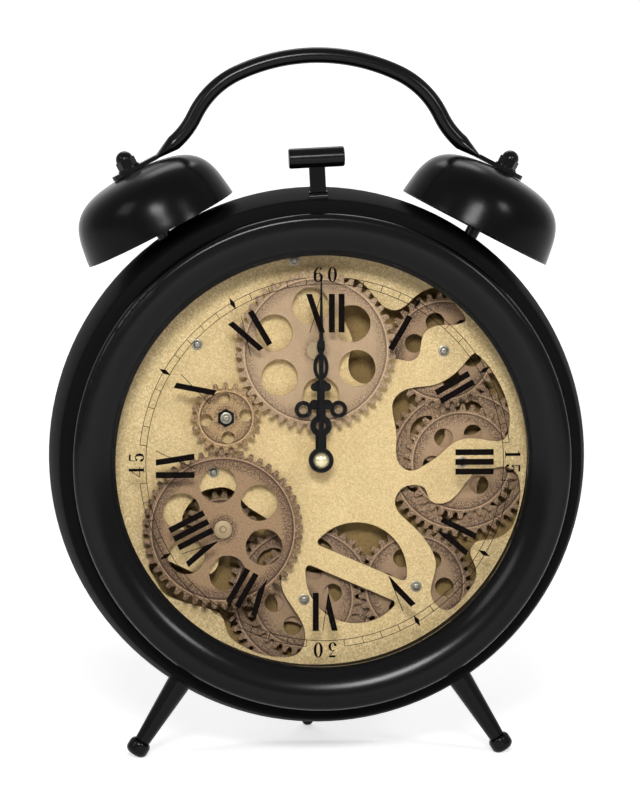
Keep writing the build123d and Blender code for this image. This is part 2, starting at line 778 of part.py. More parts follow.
# Movement: a moulded case on the board's rear, whose bush passes board and dial
movement_size = cell_length + 2 * (plastic_wall + cell_end_play)
movement_inner = board_rear + plastic_wall
movement_cover_front = movement_inner + cell_diameter + 2 * cell_side_play
movement_rear = movement_cover_front + plastic_wall
train_distance = train_module * (cannon_teeth + minute_wheel_teeth) / 2
train_place = (0, train_distance)
hour_wheel_front = movement_inner + train_gap
minute_wheel_front = hour_wheel_front + train_wheel_thickness + train_gap
bridge_front = minute_wheel_front + train_wheel_thickness + train_gap
bridge_rear = bridge_front + bridge_thickness
bridge_middle = (0, train_distance / 2)
train_arbor_bore = train_arbor_diameter + 2 * running_gap
cell_place = (0, -movement_size / 2 + plastic_wall + cell_side_play + cell_diameter / 2)
cell_middle = movement_inner + cell_side_play + cell_diameter / 2
bush_front = dial_depth - bush_reach
arbor_seat = board_rear + plastic_wall / 2


def open_box(place, width, height, front, back):
    """A moulded tray, open to the rear."""
    outer = Pos(*place) * RectangleRounded(width, height, plastic_corner)
    inner_size = (width - 2 * plastic_wall, height - 2 * plastic_wall)
    inner = Pos(*place) * RectangleRounded(*inner_size, plastic_corner - plastic_wall)
    return slab(outer, front, back) - slab(inner, front + plastic_wall, back + cut_over)


def lid(place, width, height, front):
    return slab(Pos(*place) * RectangleRounded(width, height, plastic_corner), front, front + plastic_wall)


def movement_case():
    solid = open_box((0, 0), movement_size, movement_size, board_rear, movement_cover_front)
    solid += disc(bush_diameter, bush_front, board_rear)
    solid = drilled(solid, hour_tube_diameter + 2 * running_gap, bush_front, movement_inner, [(0, 0)])
    solid -= disc(train_arbor_bore, arbor_seat, movement_inner + cut_over, train_place)
    for side in (-1, 1):
        post = (side * bridge_post_spread / 2, bridge_middle[1])
        solid += disc(bridge_post_diameter, movement_inner, bridge_front, post)
    return solid


def train_bridge():
    face = Pos(*bridge_middle) * RectangleRounded(bridge_width, bridge_height, plastic_corner)
    plate = slab(face, bridge_front, bridge_rear)
    plate = drilled(plate, arbor_diameter + 2 * running_gap, bridge_front, bridge_rear, [(0, 0)])
    return drilled(plate, train_arbor_bore, bridge_front, bridge_rear, [train_place])


cover = lid((0, 0), movement_size, movement_size, movement_cover_front)
add("movement_case", movement_case())
add("movement_cover", drilled(cover, train_arbor_bore, movement_cover_front, movement_rear, [train_place]))
add("train_bridge", train_bridge())
bush_nut_face = Circle(bush_nut_diameter / 2) - Circle(bush_diameter / 2 + thread_gap)
add("bush_nut", slab(bush_nut_face, dial_depth - bush_nut_thickness, dial_depth))


# Motion work: hour wheel and tube, minute arbor with its pinion, and the minute wheel between them
def train_wheel(place, teeth, phase, front, thickness, bore):
    shape = (teeth, train_module, train_tip, train_root, phase)
    return wheel(place, *shape, front, thickness, bore, form=train_form)


up = 90.0
pinion_phase = facing_phase(hour_wheel_teeth, up, minute_pinion_teeth)
minute_wheel_phase = facing_phase(cannon_teeth, up, minute_wheel_teeth)
hour_tube_bore = arbor_diameter + 2 * running_gap
hour_wheel_rear = hour_wheel_front + train_wheel_thickness
hour_wheel_shape = ((0, 0), hour_wheel_teeth, up, hour_wheel_front, train_wheel_thickness)
hour_wheel = train_wheel(*hour_wheel_shape, hour_tube_bore)
add("hour_wheel", hour_wheel + tube(hour_tube_diameter, hour_tube_bore, hour_front, hour_wheel_rear))
cannon = train_wheel((0, 0), cannon_teeth, up, minute_wheel_front, train_wheel_thickness, arbor_diameter / 2)
add("minute_arbor", cannon + disc(arbor_diameter, nut_front + hand_thickness, bridge_rear))
setting_knob_front = movement_rear + setting_knob_gap
setting_knob_rear = setting_knob_front + setting_knob_height
arbor_start = arbor_seat + seat_gap
arbor_end = setting_knob_rear - plastic_wall


def minute_wheel():
    """The minute wheel, with its pinion in front of it and the arbor that ends in the setting knob."""
    core = train_arbor_diameter / 2
    wheel_span = (minute_wheel_front, train_wheel_thickness)
    pinion_span = (hour_wheel_front, minute_wheel_front - hour_wheel_front)
    solid = train_wheel(train_place, minute_wheel_teeth, minute_wheel_phase, *wheel_span, core)
    solid += train_wheel(train_place, minute_pinion_teeth, pinion_phase, *pinion_span, core)
    return solid + disc(train_arbor_diameter, arbor_start, arbor_end, train_place)


add("minute_wheel", minute_wheel())


def setting_knob():
    face = Circle(setting_knob_diameter / 2)
    for x, y in ring_places(knob_flute_count, setting_knob_diameter / 2 + knob_flute_radius / 3):
        face -= Pos(x, y) * Circle(knob_flute_radius)
    solid = slab(Pos(*train_place) * face, setting_knob_front, setting_knob_rear)
    return solid - disc(train_arbor_diameter, setting_knob_front - cut_over, arbor_end, train_place)


def lying_cell(place, middle):
    """A round cell lying along X, with its button at the right."""
    body_length = cell_length - cell_button_height
    body = Pos(0, 0, -cell_button_height / 2) * Cylinder(cell_diameter / 2, body_length)
    button = Pos(0, 0, body_length / 2) * Cylinder(cell_button_diameter / 2, cell_button_height)
    return Pos(place[0], place[1], -middle) * Rot(0, 90, 0) * (body + button)


def contact_pair(place, middle):
    reach = (cell_length + contact_thickness) / 2
    plate = Box(contact_thickness, contact_size, contact_size)
    return [Pos(place[0] + side * reach, place[1], -middle) * plate for side in (-1, 1)]


add("setting_knob", setting_knob())
circuit_x = -bridge_post_spread / 2
circuit_rear = bridge_rear + circuit_thickness
circuit_face = Pos(circuit_x, bridge_middle[1]) * Rectangle(circuit_width, circuit_height)
add("circuit_board", slab(circuit_face, bridge_rear, circuit_rear))
coil = Rot(90, 0, 0) * Cylinder(coil_diameter / 2, coil_length)
add("stepper_coil", Pos(circuit_x, bridge_middle[1], -(circuit_rear + coil_diameter / 2)) * coil)

# Gear drive: a sealed geared motor behind the lower gear, fed by a cell in its own holder
drive_cover_front = board_rear + drive_depth - plastic_wall
drive_right_most = -movement_size / 2 - unit_gap - drive_width / 2
drive_place = (min(lower_place[0], drive_right_most), lower_place[1])


def drive_case():
    solid = open_box(drive_place, drive_width, drive_height, board_rear, drive_cover_front)
    solid += disc(drive_shaft_diameter + 2 * drive_bush_wall, board_front, board_rear, lower_place)
    return drilled(solid, shaft_bore, board_front, drive_inner, [lower_place])


def drive_motor():
    inner_size = [size - 2 * (plastic_wall + gearbox_play) for size in (drive_width, drive_height)]
    gearbox_rear = shaft_end + plastic_wall
    gearbox_face = Pos(*drive_place) * RectangleRounded(*inner_size, plastic_wall)
    gearbox = slab(gearbox_face, drive_inner, gearbox_rear)
    gearbox -= disc(shaft_bore, drive_inner - cut_over, shaft_end + thread_gap, lower_place)
    return gearbox + disc(motor_diameter, gearbox_rear, drive_cover_front, drive_place)


holder_width = cell_length + 2 * (plastic_wall + cell_end_play)
holder_height = cell_diameter + 2 * (plastic_wall + cell_side_play)
holder_place = (holder_offset, -(movement_size + holder_height) / 2 - unit_gap)
holder_rear = board_rear + plastic_wall + cell_diameter
holder_middle = board_rear + plastic_wall + cell_diameter / 2
add("drive_case", drive_case())
add("drive_cover", lid(drive_place, drive_width, drive_height, drive_cover_front))
add("drive_motor", drive_motor())
add("cell_holder", open_box(holder_place, holder_width, holder_height, board_rear, holder_rear))
add_group("dry_cells", [lying_cell(cell_place, cell_middle), lying_cell(holder_place, holder_middle)])
add_group("cell_contacts", contact_pair(cell_place, cell_middle) + contact_pair(holder_place, holder_middle))

# Back cover, with a window over the movement, the gear drive and its cell
rear_leg_root = (0, -(case_rear_radius - rear_flange_width - rear_leg_margin))
access_left = drive_place[0] - drive_width / 2 - access_margin
access_right = holder_place[0] + holder_width / 2 + access_margin
access_top = movement_size / 2 + access_margin
access_bottom = min(drive_place[1] - drive_height / 2, holder_place[1] - holder_height / 2) - access_margin


def back_cover():
    access = RectangleRounded(access_right - access_left, access_top - access_bottom, access_corner)
    access = Pos((access_left + access_right) / 2, (access_top + access_bottom) / 2) * access
    plate = slab(Circle(case_rear_radius - back_overlap / 2) - access, rear_depth, cover_rear)
    plate = drilled(plate, rear_leg_diameter + hole_clearance, rear_depth, cover_rear, [rear_leg_root])
    return drilled(plate, screw_hole, rear_depth, cover_rear, back_screw_places)


add("back_cover", back_cover())
case_screws += [
    screw(place, cover_rear, short_screw_length, screw_diameter, screw_head_diameter, False, True)
    for place in back_screw_places
]
add_group("case_screws", case_screws)

# Front legs: a cone off the case, a round knob to stand on and a stud inside
nut_corner = 1 / sqrt(3)
leg_nut_outer = case_radius(leg_depth - leg_nut_across * nut_corner, sheet) - seat_gap
leg_lean = radians(leg_angle)
knob_drop = knob_round
knob_drop += (knob_length / 2 - knob_round) * cos(leg_lean)
knob_drop += (knob_diameter / 2 - knob_round) * sin(leg_lean)
knob_reach = (axis_height - knob_drop + foot_flat) / cos(leg_lean)
floor_size = (2 * axis_height, case_length, 2 * rear_foot_depth)
floor = Pos(0, -axis_height - case_length / 2, -rear_foot_depth) * Box(*floor_size)


def front_leg(side):
    knob = bar(knob_diameter, knob_reach - knob_length / 2, knob_reach + knob_length / 2)
    knob = fillet(knob.edges(), knob_round)
    cone = Cone(leg_root_diameter / 2, leg_neck_diameter / 2, knob_reach - leg_nut_outer)
    cone = Pos(0, (knob_reach + leg_nut_outer) / 2, 0) * Rot(-90, 0, 0) * cone
    solid = leg_frame(side) * (cone + knob) - case_outer
    stud_inner = leg_nut_outer - leg_nut_height - stud_end
    stud = bar(leg_stud_diameter, stud_inner, case_radius(leg_depth) + stud_end)
    return solid + leg_frame(side) * stud - floor


leg_nuts = []
for name, side in (("left_leg", -1), ("right_leg", 1)):
    add(name, front_leg(side))
    nut_bore = leg_stud_diameter + 2 * thread_gap
    nut = hex_nut(leg_nut_across, nut_bore, leg_nut_outer - leg_nut_height, leg_nut_outer)
    leg_nuts.append(leg_frame(side) * nut)


# Rear leg: a bent rod through the back cover, with a nut on each side of the sheet
def rear_leg():
    x, root = rear_leg_root
    tip = rear_leg_diameter / 2 - foot_flat - axis_height
    start = (x, root, -(rear_depth - leg_nut_height - stud_end))
    corner = (x, root, -(cover_rear + rear_leg_run))
    end = (x, tip, -rear_foot_depth)
    path = FilletPolyline(start, corner, end, radius=rear_leg_bend)
    rod = sweep(Plane(path @ 0, z_dir=path % 0) * Circle(rear_leg_diameter / 2), path=path)
    return rod + Pos(*end) * Sphere(rear_leg_diameter / 2) - floor


add("rear_leg", rear_leg())
rear_nut_face = RegularPolygon(leg_nut_across / 2, 6, major_radius=False)
rear_nut_face = Pos(*rear_leg_root) * (rear_nut_face - Circle(rear_leg_diameter / 2 + thread_gap))
leg_nuts.append(slab(rear_nut_face, rear_depth - leg_nut_height, rear_depth))
leg_nuts.append(slab(rear_nut_face, cover_rear, cover_rear + leg_nut_height))
add_group("leg_nuts", leg_nuts)


# Bells: spun shells on posts, each under a tab of the handle and a domed nut
def bell_solid(inset):
    """The bell as a full solid, inset all over, on a curve in shares of its radius and height."""
    shape = [(1.0, 0.0), (0.985, 0.16), (0.945, 0.44), (0.84, 0.71), (0.6, 0.905), (0.27, 0.985), (0.0, 1.0)]
    points = [((bell_radius - inset) * across, (bell_height - inset) * up) for across, up in shape]
    curve = Spline(*points, tangents=[(-0.06, 1), (-1, 0)])
    return revolve(make_face([curve, Polyline(points[-1], (0, 0), points[0])]), axis=Axis.Y)


def bell_root(radius):
    """Where the bell's axis meets a circle about the dial's axis, along the bell's local Y."""
    x, y = bell_place
    along = x * sin(radians(bell_tilt)) + y * cos(radians(bell_tilt))
    return sqrt(along ** 2 - x * x - y * y + radius ** 2) - along


washer_low = bell_height + tab_thickness
acorn_low = washer_low + bell_washer_thickness
acorn_bore_end = acorn_low + acorn_height - acorn_roof
bell_lean = radians(bell_direction - bell_tilt)
bell_nut_rise = bell_nut_across * nut_corner * abs(sin(bell_lean))
bell_nut_top = bell_root(case_radius(top_depth, sheet)) - bell_nut_rise - seat_gap


def bell_post():
    body = bar(bell_post_diameter, bell_nut_top, bell_height - bell_wall - bell_crown_sag)
    thread_low = bell_nut_top - bell_nut_height - stud_end
    return body, bar(bell_thread_diameter, thread_low, acorn_bore_end - thread_gap)


def acorn_nut():
    dome_radius = bell_nut_across / 2 - thread_gap
    solid = hex_nut(bell_nut_across, bell_thread_diameter, acorn_low, acorn_low + acorn_hex_height)
    solid += bar(2 * dome_radius, acorn_low, acorn_low + acorn_height - dome_radius)
    solid += Pos(0, acorn_low + acorn_height - dome_radius, 0) * Sphere(dome_radius)
    return solid - bar(bell_bore, acorn_low - cut_over, acorn_bore_end)


bell_posts, acorn_nuts, bell_washers, bell_nuts = [], [], [], []
bell_shell = bell_solid(0) - bell_solid(bell_wall) - bar(bell_hole, 0, bell_height + cut_over)
bell_washer = bar(bell_washer_diameter, washer_low, acorn_low) - bar(bell_bore, 0, 2 * acorn_low)
bell_nut = hex_nut(bell_nut_across, bell_bore, bell_nut_top - bell_nut_height, bell_nut_top)
post_body, post_thread = bell_post()
for name, side in (("left_bell", -1), ("right_bell", 1)):
    frame = bell_frame(side)
    add(name, frame * bell_shell)
    bell_posts.append((frame * post_body - case_outer) + frame * post_thread)
    acorn_nuts.append(frame * acorn_nut())
    bell_washers.append(frame * bell_washer)
    bell_nuts.append(frame * bell_nut)
add_group("bell_posts", bell_posts)
add_group("acorn_nuts", acorn_nuts)
add_group("bell_washers", bell_washers)
add_group("bell_nuts", bell_nuts)


# Handle: a bent tube whose ends are pressed flat into tabs over the bells
def handle_path():
    """Centre line of the right half, from the top to where the tube starts to flatten over the bell."""
    tilt = radians(bell_tilt)
    rise = bell_height + handle_foot_rise
    foot_x = bell_place[0] - handle_foot_reach * cos(tilt) + rise * sin(tilt)
    foot_y = bell_place[1] + handle_foot_reach * sin(tilt) + rise * cos(tilt)
    one, two, three = (radians(turn) for turn in (handle_crown_turn, handle_side_turn, handle_foot_turn))
    across = handle_shoulder_bend * (sin(two) - sin(one)) + handle_foot_bend * (sin(two) - sin(three))
    crown_bend = (foot_x - across) / sin(one)
    fall = crown_bend * (1 - cos(one))
    fall += handle_shoulder_bend * (cos(one) - cos(two)) + handle_foot_bend * (cos(three) - cos(two))
    crown = JernArc((0, foot_y + fall, -top_depth), (1, 0), crown_bend, -handle_crown_turn)
    shoulder = JernArc(crown @ 1, crown % 1, handle_shoulder_bend, handle_crown_turn - handle_side_turn)
    foot = JernArc(shoulder @ 1, shoulder % 1, handle_foot_bend, handle_side_turn - handle_foot_turn)
    return Wire([crown, shoulder, foot])


def handle():
    path = handle_path()
    start = Plane(path @ 0, z_dir=path % 0)
    end = Plane(path @ 1, x_dir=(0, 0, 1), z_dir=path % 1)
    rod = sweep(start * Circle(handle_diameter / 2), path=path)
    bore = sweep(start * Circle(handle_diameter / 2 - handle_wall), path=path)
    tab_middle = bell_height + tab_thickness / 2
    flat = Plane((-tab_inner_reach, tab_middle, 0), x_dir=(0, 0, 1), z_dir=(1, 0, 0))
    flat_face = flat * Ellipse(tab_width / 2, tab_thickness / 2)
    frame = bell_frame(1)
    pressed = loft([end * Circle(handle_diameter / 2), frame * flat_face])
    tab = Box(tab_inner_reach + tab_outer_reach, tab_thickness, tab_width)
    tab = Pos((tab_outer_reach - tab_inner_reach) / 2, tab_middle, 0) * tab
    tab = fillet(tab.edges().filter_by(Axis.Y).sort_by(Axis.X)[-2:], tab_width / 2 - tab_thickness / 2)
    half = rod - bore + pressed + frame * tab - frame * bar(bell_hole, 0, 2 * bell_height)
    return half + mirror(half, about=Plane.YZ)


add("handle", handle())


# Hammer: a round bar on a flat strip, welded to the top of the case with a slight lean
hammer_frame = Pos(hammer_offset, case_radius(hammer_depth), -hammer_depth) * Rot(0, 0, hammer_lean)
hammer_rod = Cylinder(hammer_diameter / 2, hammer_length)
hammer_place = hammer_frame * Pos(0, hammer_rise, 0) * Rot(0, 90, 0)


def hammer_stem():
    strip = Box(hammer_stem_width, hammer_rise + case_step, hammer_stem_thickness)
    weld = Rot(0, 90, 0) * Cylinder(weld_diameter / 2, hammer_stem_width + 2 * weld_overlap)
    solid = Pos(0, (hammer_rise - case_step) / 2, 0) * strip + weld
    return hammer_frame * solid - case_outer - hammer_place * hammer_rod


add("hammer_stem", hammer_stem())
add("hammer_bar", hammer_place * chamfer(hammer_rod.edges().filter_by(GeomType.CIRCLE), hammer_chamfer))

os.makedirs("parts", exist_ok=True)
for name, shape in nodes.items():
    export_step(shape, "parts/" + name + ".step")
print(len(nodes), "nodes, axis height", round(axis_height, 3), "middle depth", round(middle_depth, 3))
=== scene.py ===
# %% [markdown]
# A table clock dressed for its portrait
#
# The solids of the clock come from a frame in model.glb: every node sits where it belongs, in metres.
# This lesson gives each of them a finish, adds what is printed on the glass, and sets up a small white
# studio. +X runs to the right of the dial, +Y to the rear and +Z up.

# %% Load the frame
import bpy
import json
from math import cos, hypot, radians, sin, tau
from mathutils import Matrix, Vector


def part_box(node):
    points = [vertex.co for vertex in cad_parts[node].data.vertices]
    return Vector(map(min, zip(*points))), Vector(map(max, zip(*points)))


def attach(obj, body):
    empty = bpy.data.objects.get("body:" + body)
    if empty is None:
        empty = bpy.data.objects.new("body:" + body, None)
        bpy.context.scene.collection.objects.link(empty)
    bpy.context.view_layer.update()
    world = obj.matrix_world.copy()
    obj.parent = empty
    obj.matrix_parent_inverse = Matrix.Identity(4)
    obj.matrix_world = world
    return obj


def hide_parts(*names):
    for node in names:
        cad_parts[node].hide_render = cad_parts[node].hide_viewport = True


MM = 0.001

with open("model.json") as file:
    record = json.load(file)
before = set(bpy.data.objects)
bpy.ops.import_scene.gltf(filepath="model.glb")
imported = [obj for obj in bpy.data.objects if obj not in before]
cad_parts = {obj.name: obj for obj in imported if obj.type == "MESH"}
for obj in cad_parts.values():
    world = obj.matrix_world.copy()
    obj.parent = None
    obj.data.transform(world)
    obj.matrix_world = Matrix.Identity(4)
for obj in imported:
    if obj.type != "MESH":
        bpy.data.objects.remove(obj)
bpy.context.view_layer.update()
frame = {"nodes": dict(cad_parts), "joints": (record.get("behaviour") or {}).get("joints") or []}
nodes = frame["nodes"]
places = {joint["name"]: Vector(joint["pos_m"]) for joint in frame["joints"]}
axis = places["minute_spin"]

# %% [markdown]
# Smooth curves from many small faces
#
# The solids arrive as loose triangles, so a bell would look like a cut stone. Each node keeps its mesh and
# gets two modifiers: Weld joins the triangles, and Edge Split keeps the real edges sharp while curves
# shade smoothly.

# %% Shade the solids
SHARP_ANGLE = radians(28)
WELD_DISTANCE = 0.004 * MM


def shade_smooth(node):
    """Smooth shading for one node, with its real edges left sharp."""
    node.data.polygons.foreach_set("use_smooth", [True] * len(node.data.polygons))
    weld = node.modifiers.new("weld", "WELD")
    weld.merge_threshold = WELD_DISTANCE
    split = node.modifiers.new("sharp edges", "EDGE_SPLIT")
    split.split_angle = SHARP_ANGLE


for node in nodes.values():
    shade_smooth(node)
print("shaded", len(nodes), "nodes")

# %% [markdown]
# Sums on sockets
#
# A finish is a small sum: so much grain, plus a stain, times a mask. A class that wraps a node's socket
# lets that sum be written as one. Every other node comes from the one method called node.


# %% Sockets that add and multiply
class Wire:
    """One output socket of a finish, with the sums that a shader needs."""

    def __init__(self, finish, socket):
        self.finish = finish
        self.socket = socket

    def maths(self, operation, first, second, clamp=False):
        settings = {"operation": operation, "use_clamp": clamp}
        return self.finish.node("ShaderNodeMath", settings, {0: first, 1: second})

    def __add__(self, other):
        return self.maths("ADD", self, other)

    def __radd__(self, other):
        return self.maths("ADD", other, self)

    def __sub__(self, other):
        return self.maths("SUBTRACT", self, other)

    def __rsub__(self, other):
        return self.maths("SUBTRACT", other, self)

    def __mul__(self, other):
        return self.maths("MULTIPLY", self, other)

    def __rmul__(self, other):
        return self.maths("MULTIPLY", other, self)

    def __pow__(self, other):
        return self.maths("POWER", self, other)

    def clamped(self):
        return self.maths("ADD", self, 0.0, clamp=True)


# %% The finish builder
SHOWN_RAYS = ("Camera", "Glossy", "Transmission")
# A Mix node has sockets for numbers, vectors and colours. These are the places of its colours.
MIX_FIRST, MIX_SECOND, MIX_RESULT = 6, 7, 2


class Finish:
    """A material, or the world, and the nodes that make it."""

    def __init__(self, name, store=bpy.data.materials, output="ShaderNodeOutputMaterial"):
        self.block = store.new(name)
        self.block.use_nodes = True
        self.tree = self.block.node_tree
        self.tree.nodes.clear()
        self.output = self.tree.nodes.new(output)

    def node(self, kind, settings=None, inputs=None, output=0):
        """Adds a node, sets it, feeds its sockets and returns one of its outputs."""
        made = self.tree.nodes.new(kind)
        for key, value in (settings or {}).items():
            setattr(made, key, value)
        for key, value in (inputs or {}).items():
            if isinstance(value, Wire):
                self.tree.links.new(value.socket, made.inputs[key])
            else:
                made.inputs[key].default_value = value
        return Wire(self, made.outputs[output])

    def where(self, centre=(0, 0, 0)):
        """Object coordinates, measured from a centre."""
        coordinates = self.node("ShaderNodeTexCoord", output="Object")
        ends = {0: coordinates, 1: centre}
        return self.node("ShaderNodeVectorMath", {"operation": "SUBTRACT"}, ends)

    def distance(self, centre):
        """Distance from the line through a centre along Y."""
        across = {0: self.where(centre), 1: (1, 0, 1)}
        flat = self.node("ShaderNodeVectorMath", {"operation": "MULTIPLY"}, across)
        return self.node("ShaderNodeVectorMath", {"operation": "LENGTH"}, {0: flat}, output="Value")

    def noise(self, size, detail=2.0, rough=0.5):
        """Cloudy noise from 0 to 1 whose lumps have about the given size in metres."""
        inputs = {"Vector": self.where(), "Scale": 1 / size, "Detail": detail, "Roughness": rough}
        return self.node("ShaderNodeTexNoise", None, inputs)

    def cell_edges(self, size):
        """Distance from the edges in a pattern of cells of about the given size in metres."""
        inputs = {"Vector": self.where(), "Scale": 1 / size}
        return self.node("ShaderNodeTexVoronoi", {"feature": "DISTANCE_TO_EDGE"}, inputs)

    def between(self, value, low, high):
        """0 at low, 1 at high and a smooth step between. Low may be the larger number."""
        inputs = {"Value": value, "From Min": low, "From Max": high}
        return self.node("ShaderNodeMapRange", {"interpolation_type": "SMOOTHSTEP"}, inputs)

    def mix(self, factor, first, second):
        """One colour fading into another."""
        inputs = {"Factor": factor}
        inputs[MIX_FIRST] = first if isinstance(first, Wire) else (*first, 1.0)
        inputs[MIX_SECOND] = second if isinstance(second, Wire) else (*second, 1.0)
        return self.node("ShaderNodeMix", {"data_type": "RGBA"}, inputs, output=MIX_RESULT)

    def bump(self, height, distance, strength):
        inputs = {"Height": height, "Distance": distance, "Strength": strength}
        return self.node("ShaderNodeBump", None, inputs)

    def surface(self, shader):
        """Ends the finish in a shader and returns the material, or the world."""
        self.tree.links.new(shader.socket, self.output.inputs["Surface"])
        return self.block

    def seen(self):
        """1 for rays that show the background itself: to the camera, off gloss and through glass."""
        rays = [self.node("ShaderNodeLightPath", output="Is " + kind + " Ray") for kind in SHOWN_RAYS]
        return (rays[0] + rays[1] + rays[2]).clamped()

    def principled(self, **sockets):
        """Ends the finish in a Principled shader. Names are written with _ for a space."""
        inputs = {name.replace("_", " "): value for name, value in sockets.items()}
        return self.surface(self.node("ShaderNodeBsdfPrincipled", None, inputs))


def toned(colour, factor):
    """A colour made lighter or darker."""
    return tuple(value * factor for value in colour)


def dress(material, *names):
    """Gives a finish to CAD nodes, or to pieces."""
    for name in names:
        piece = nodes[name] if isinstance(name, str) else name
        piece.data.materials.clear()
        piece.data.materials.append(material)
    print(material.name, "on", len(names), "pieces")


# %% [markdown]
# Black paint
#
# The bezel, the handle and the legs are sheet metal and rod under a coat of satin black. Sprayed paint is
# never quite flat: a fine orange peel breaks up its highlights, and handling leaves it shinier in places.
# The bells have a softer shine, the drum is matt and the back cover is powder coated. All are black paint,
# so one function makes every coat and takes how rough, how glossy and how pale it is.

# %% Paint the case
PEEL_SIZE, PEEL_DEPTH = 1.6 * MM, 0.02 * MM
HANDLED_SIZE = 60 * MM
DUST_SIZE, DUST_TONE = 0.7 * MM, 0.01
# Each coat: its name, roughness, gloss and tone, and the nodes that carry it
COATS = [
    ("satin black paint", 0.14, 0.16, 0.002, [
        "front_bezel", "left_leg", "right_leg", "rear_leg", "bell_posts", "acorn_nuts", "bell_washers",
        "handle", "hammer_stem", "hammer_bar",
    ]),
    ("bell black paint", 0.17, 0.10, 0.002, ["left_bell", "right_bell"]),
    ("matt black paint", 0.55, 0.03, 0.005, ["case_drum", "dial_surround"]),
    ("powder black paint", 0.45, 0.3, 0.012, ["back_cover"]),
]


def black_paint(name, rough, gloss, tone):
    finish = Finish(name)
    peel = finish.noise(PEEL_SIZE)
    handled = finish.noise(HANDLED_SIZE, 3.0)
    dust = finish.between(finish.noise(DUST_SIZE, 1.0), 0.70, 0.80)
    dusty = DUST_TONE + tone
    colour = finish.mix(dust * 0.35, (tone, tone, tone * 1.1), (dusty, dusty, dusty))
    return finish.principled(
        Base_Color=colour,
        Roughness=rough + handled * 0.10,
        Specular_IOR_Level=gloss,
        Normal=finish.bump(peel, PEEL_DEPTH, 0.3),
    )


for coat, rough, gloss, tone, carriers in COATS:
    dress(black_paint(coat, rough, gloss, tone), *carriers)

# %% [markdown]
# Gold leaf
#
# The dial is a plate laid with imitation gold leaf: cloudy, and darker and browner towards its rim, with a
# fine grain, small dark pits and hair cracks where the leaf has broken. Leaf is thin metal on a matt
# ground, so the finish is only partly metallic.

# %% Lay the leaf
LEAF_SHADE, LEAF_LIGHT = (0.67, 0.475, 0.222), (0.77, 0.57, 0.295)
LEAF_BROWN, LEAF_GLINT = (0.40, 0.26, 0.11), (0.95, 0.76, 0.44)
PIT_BROWN, CRACK_BROWN = (0.27, 0.17, 0.07), (0.30, 0.19, 0.08)
BROWN_FROM, BROWN_TO = 90 * MM, 160 * MM
CRACK_SIZE, CRACK_WARP = 26 * MM, 14 * MM


def gold_leaf():
    finish = Finish("gold leaf")
    radius = finish.distance(axis)
    grain = finish.noise(1.1 * MM, 3.0, 0.7)
    speck = finish.noise(0.6 * MM, 2.0, 0.6)
    cloud = finish.noise(28 * MM, 4.0, 0.6)
    leafed = finish.mix(cloud, LEAF_SHADE, LEAF_LIGHT)
    # Darker and browner towards the rim
    rim = finish.between(radius + cloud * 0.05, BROWN_FROM, BROWN_TO)
    browned = finish.mix(rim * 0.15, leafed, LEAF_BROWN)
    glints = finish.between(grain, 0.42, 0.62) * (0.4 + rim * 0.5)
    grainy = finish.mix(glints, browned, LEAF_GLINT)
    pits = finish.between(speck, 0.50, 0.62) * (0.34 + rim * 0.12)
    pitted = finish.mix(pits, grainy, PIT_BROWN)
    crack = finish.cell_edges(CRACK_SIZE) + finish.noise(CRACK_WARP) * 0.03
    cracks = finish.between(crack, 0.024, 0.012) * finish.between(cloud, 0.45, 0.7)
    return finish.principled(
        Base_Color=finish.mix(cracks * 0.5, pitted, CRACK_BROWN),
        Metallic=0.12,
        Roughness=0.42 + grain * 0.2,
        Specular_IOR_Level=0.2,
        Normal=finish.bump(grain + speck, 0.06 * MM, 0.6),
    )


dress(gold_leaf(), "dial_plate")

# %% [markdown]
# Antique bronze gears
#
# The gears are flat blanks with a raised rim, sprayed a brownish bronze and stippled with a darker tone.
# The stipple is heaviest inside the step, where it is partly painted shade under the rim, around the hub
# and on the teeth. A dark line at the foot of the step is painted shade, and a pale band on the step's edge
# is a painted highlight. The upper gear is the palest and the lower gear the most stippled, so one function
# makes them all and takes the gear's centre, the radius of its step, its colour and the stipple's weight.

# %% Mix the bronze
GEAR_STAIN = (0.075, 0.043, 0.032)
HUB_CLEAR, HUB_DARK = 9.5 * MM, 5.5 * MM
# Where each mask is 0 and where it is 1, measured outwards from the step
FACE_MASK = (0.3 * MM, 0)
# Painted shade at the foot of the step
STEP_SHADE_MASK = (-1.5 * MM, -0.5 * MM)
SHADE_MASK = (-8 * MM, -1 * MM)
# A painted highlight on the edge of the step
HIGHLIGHT_START = (0, 0.25 * MM)
HIGHLIGHT_END = (1.0 * MM, 0.6 * MM)


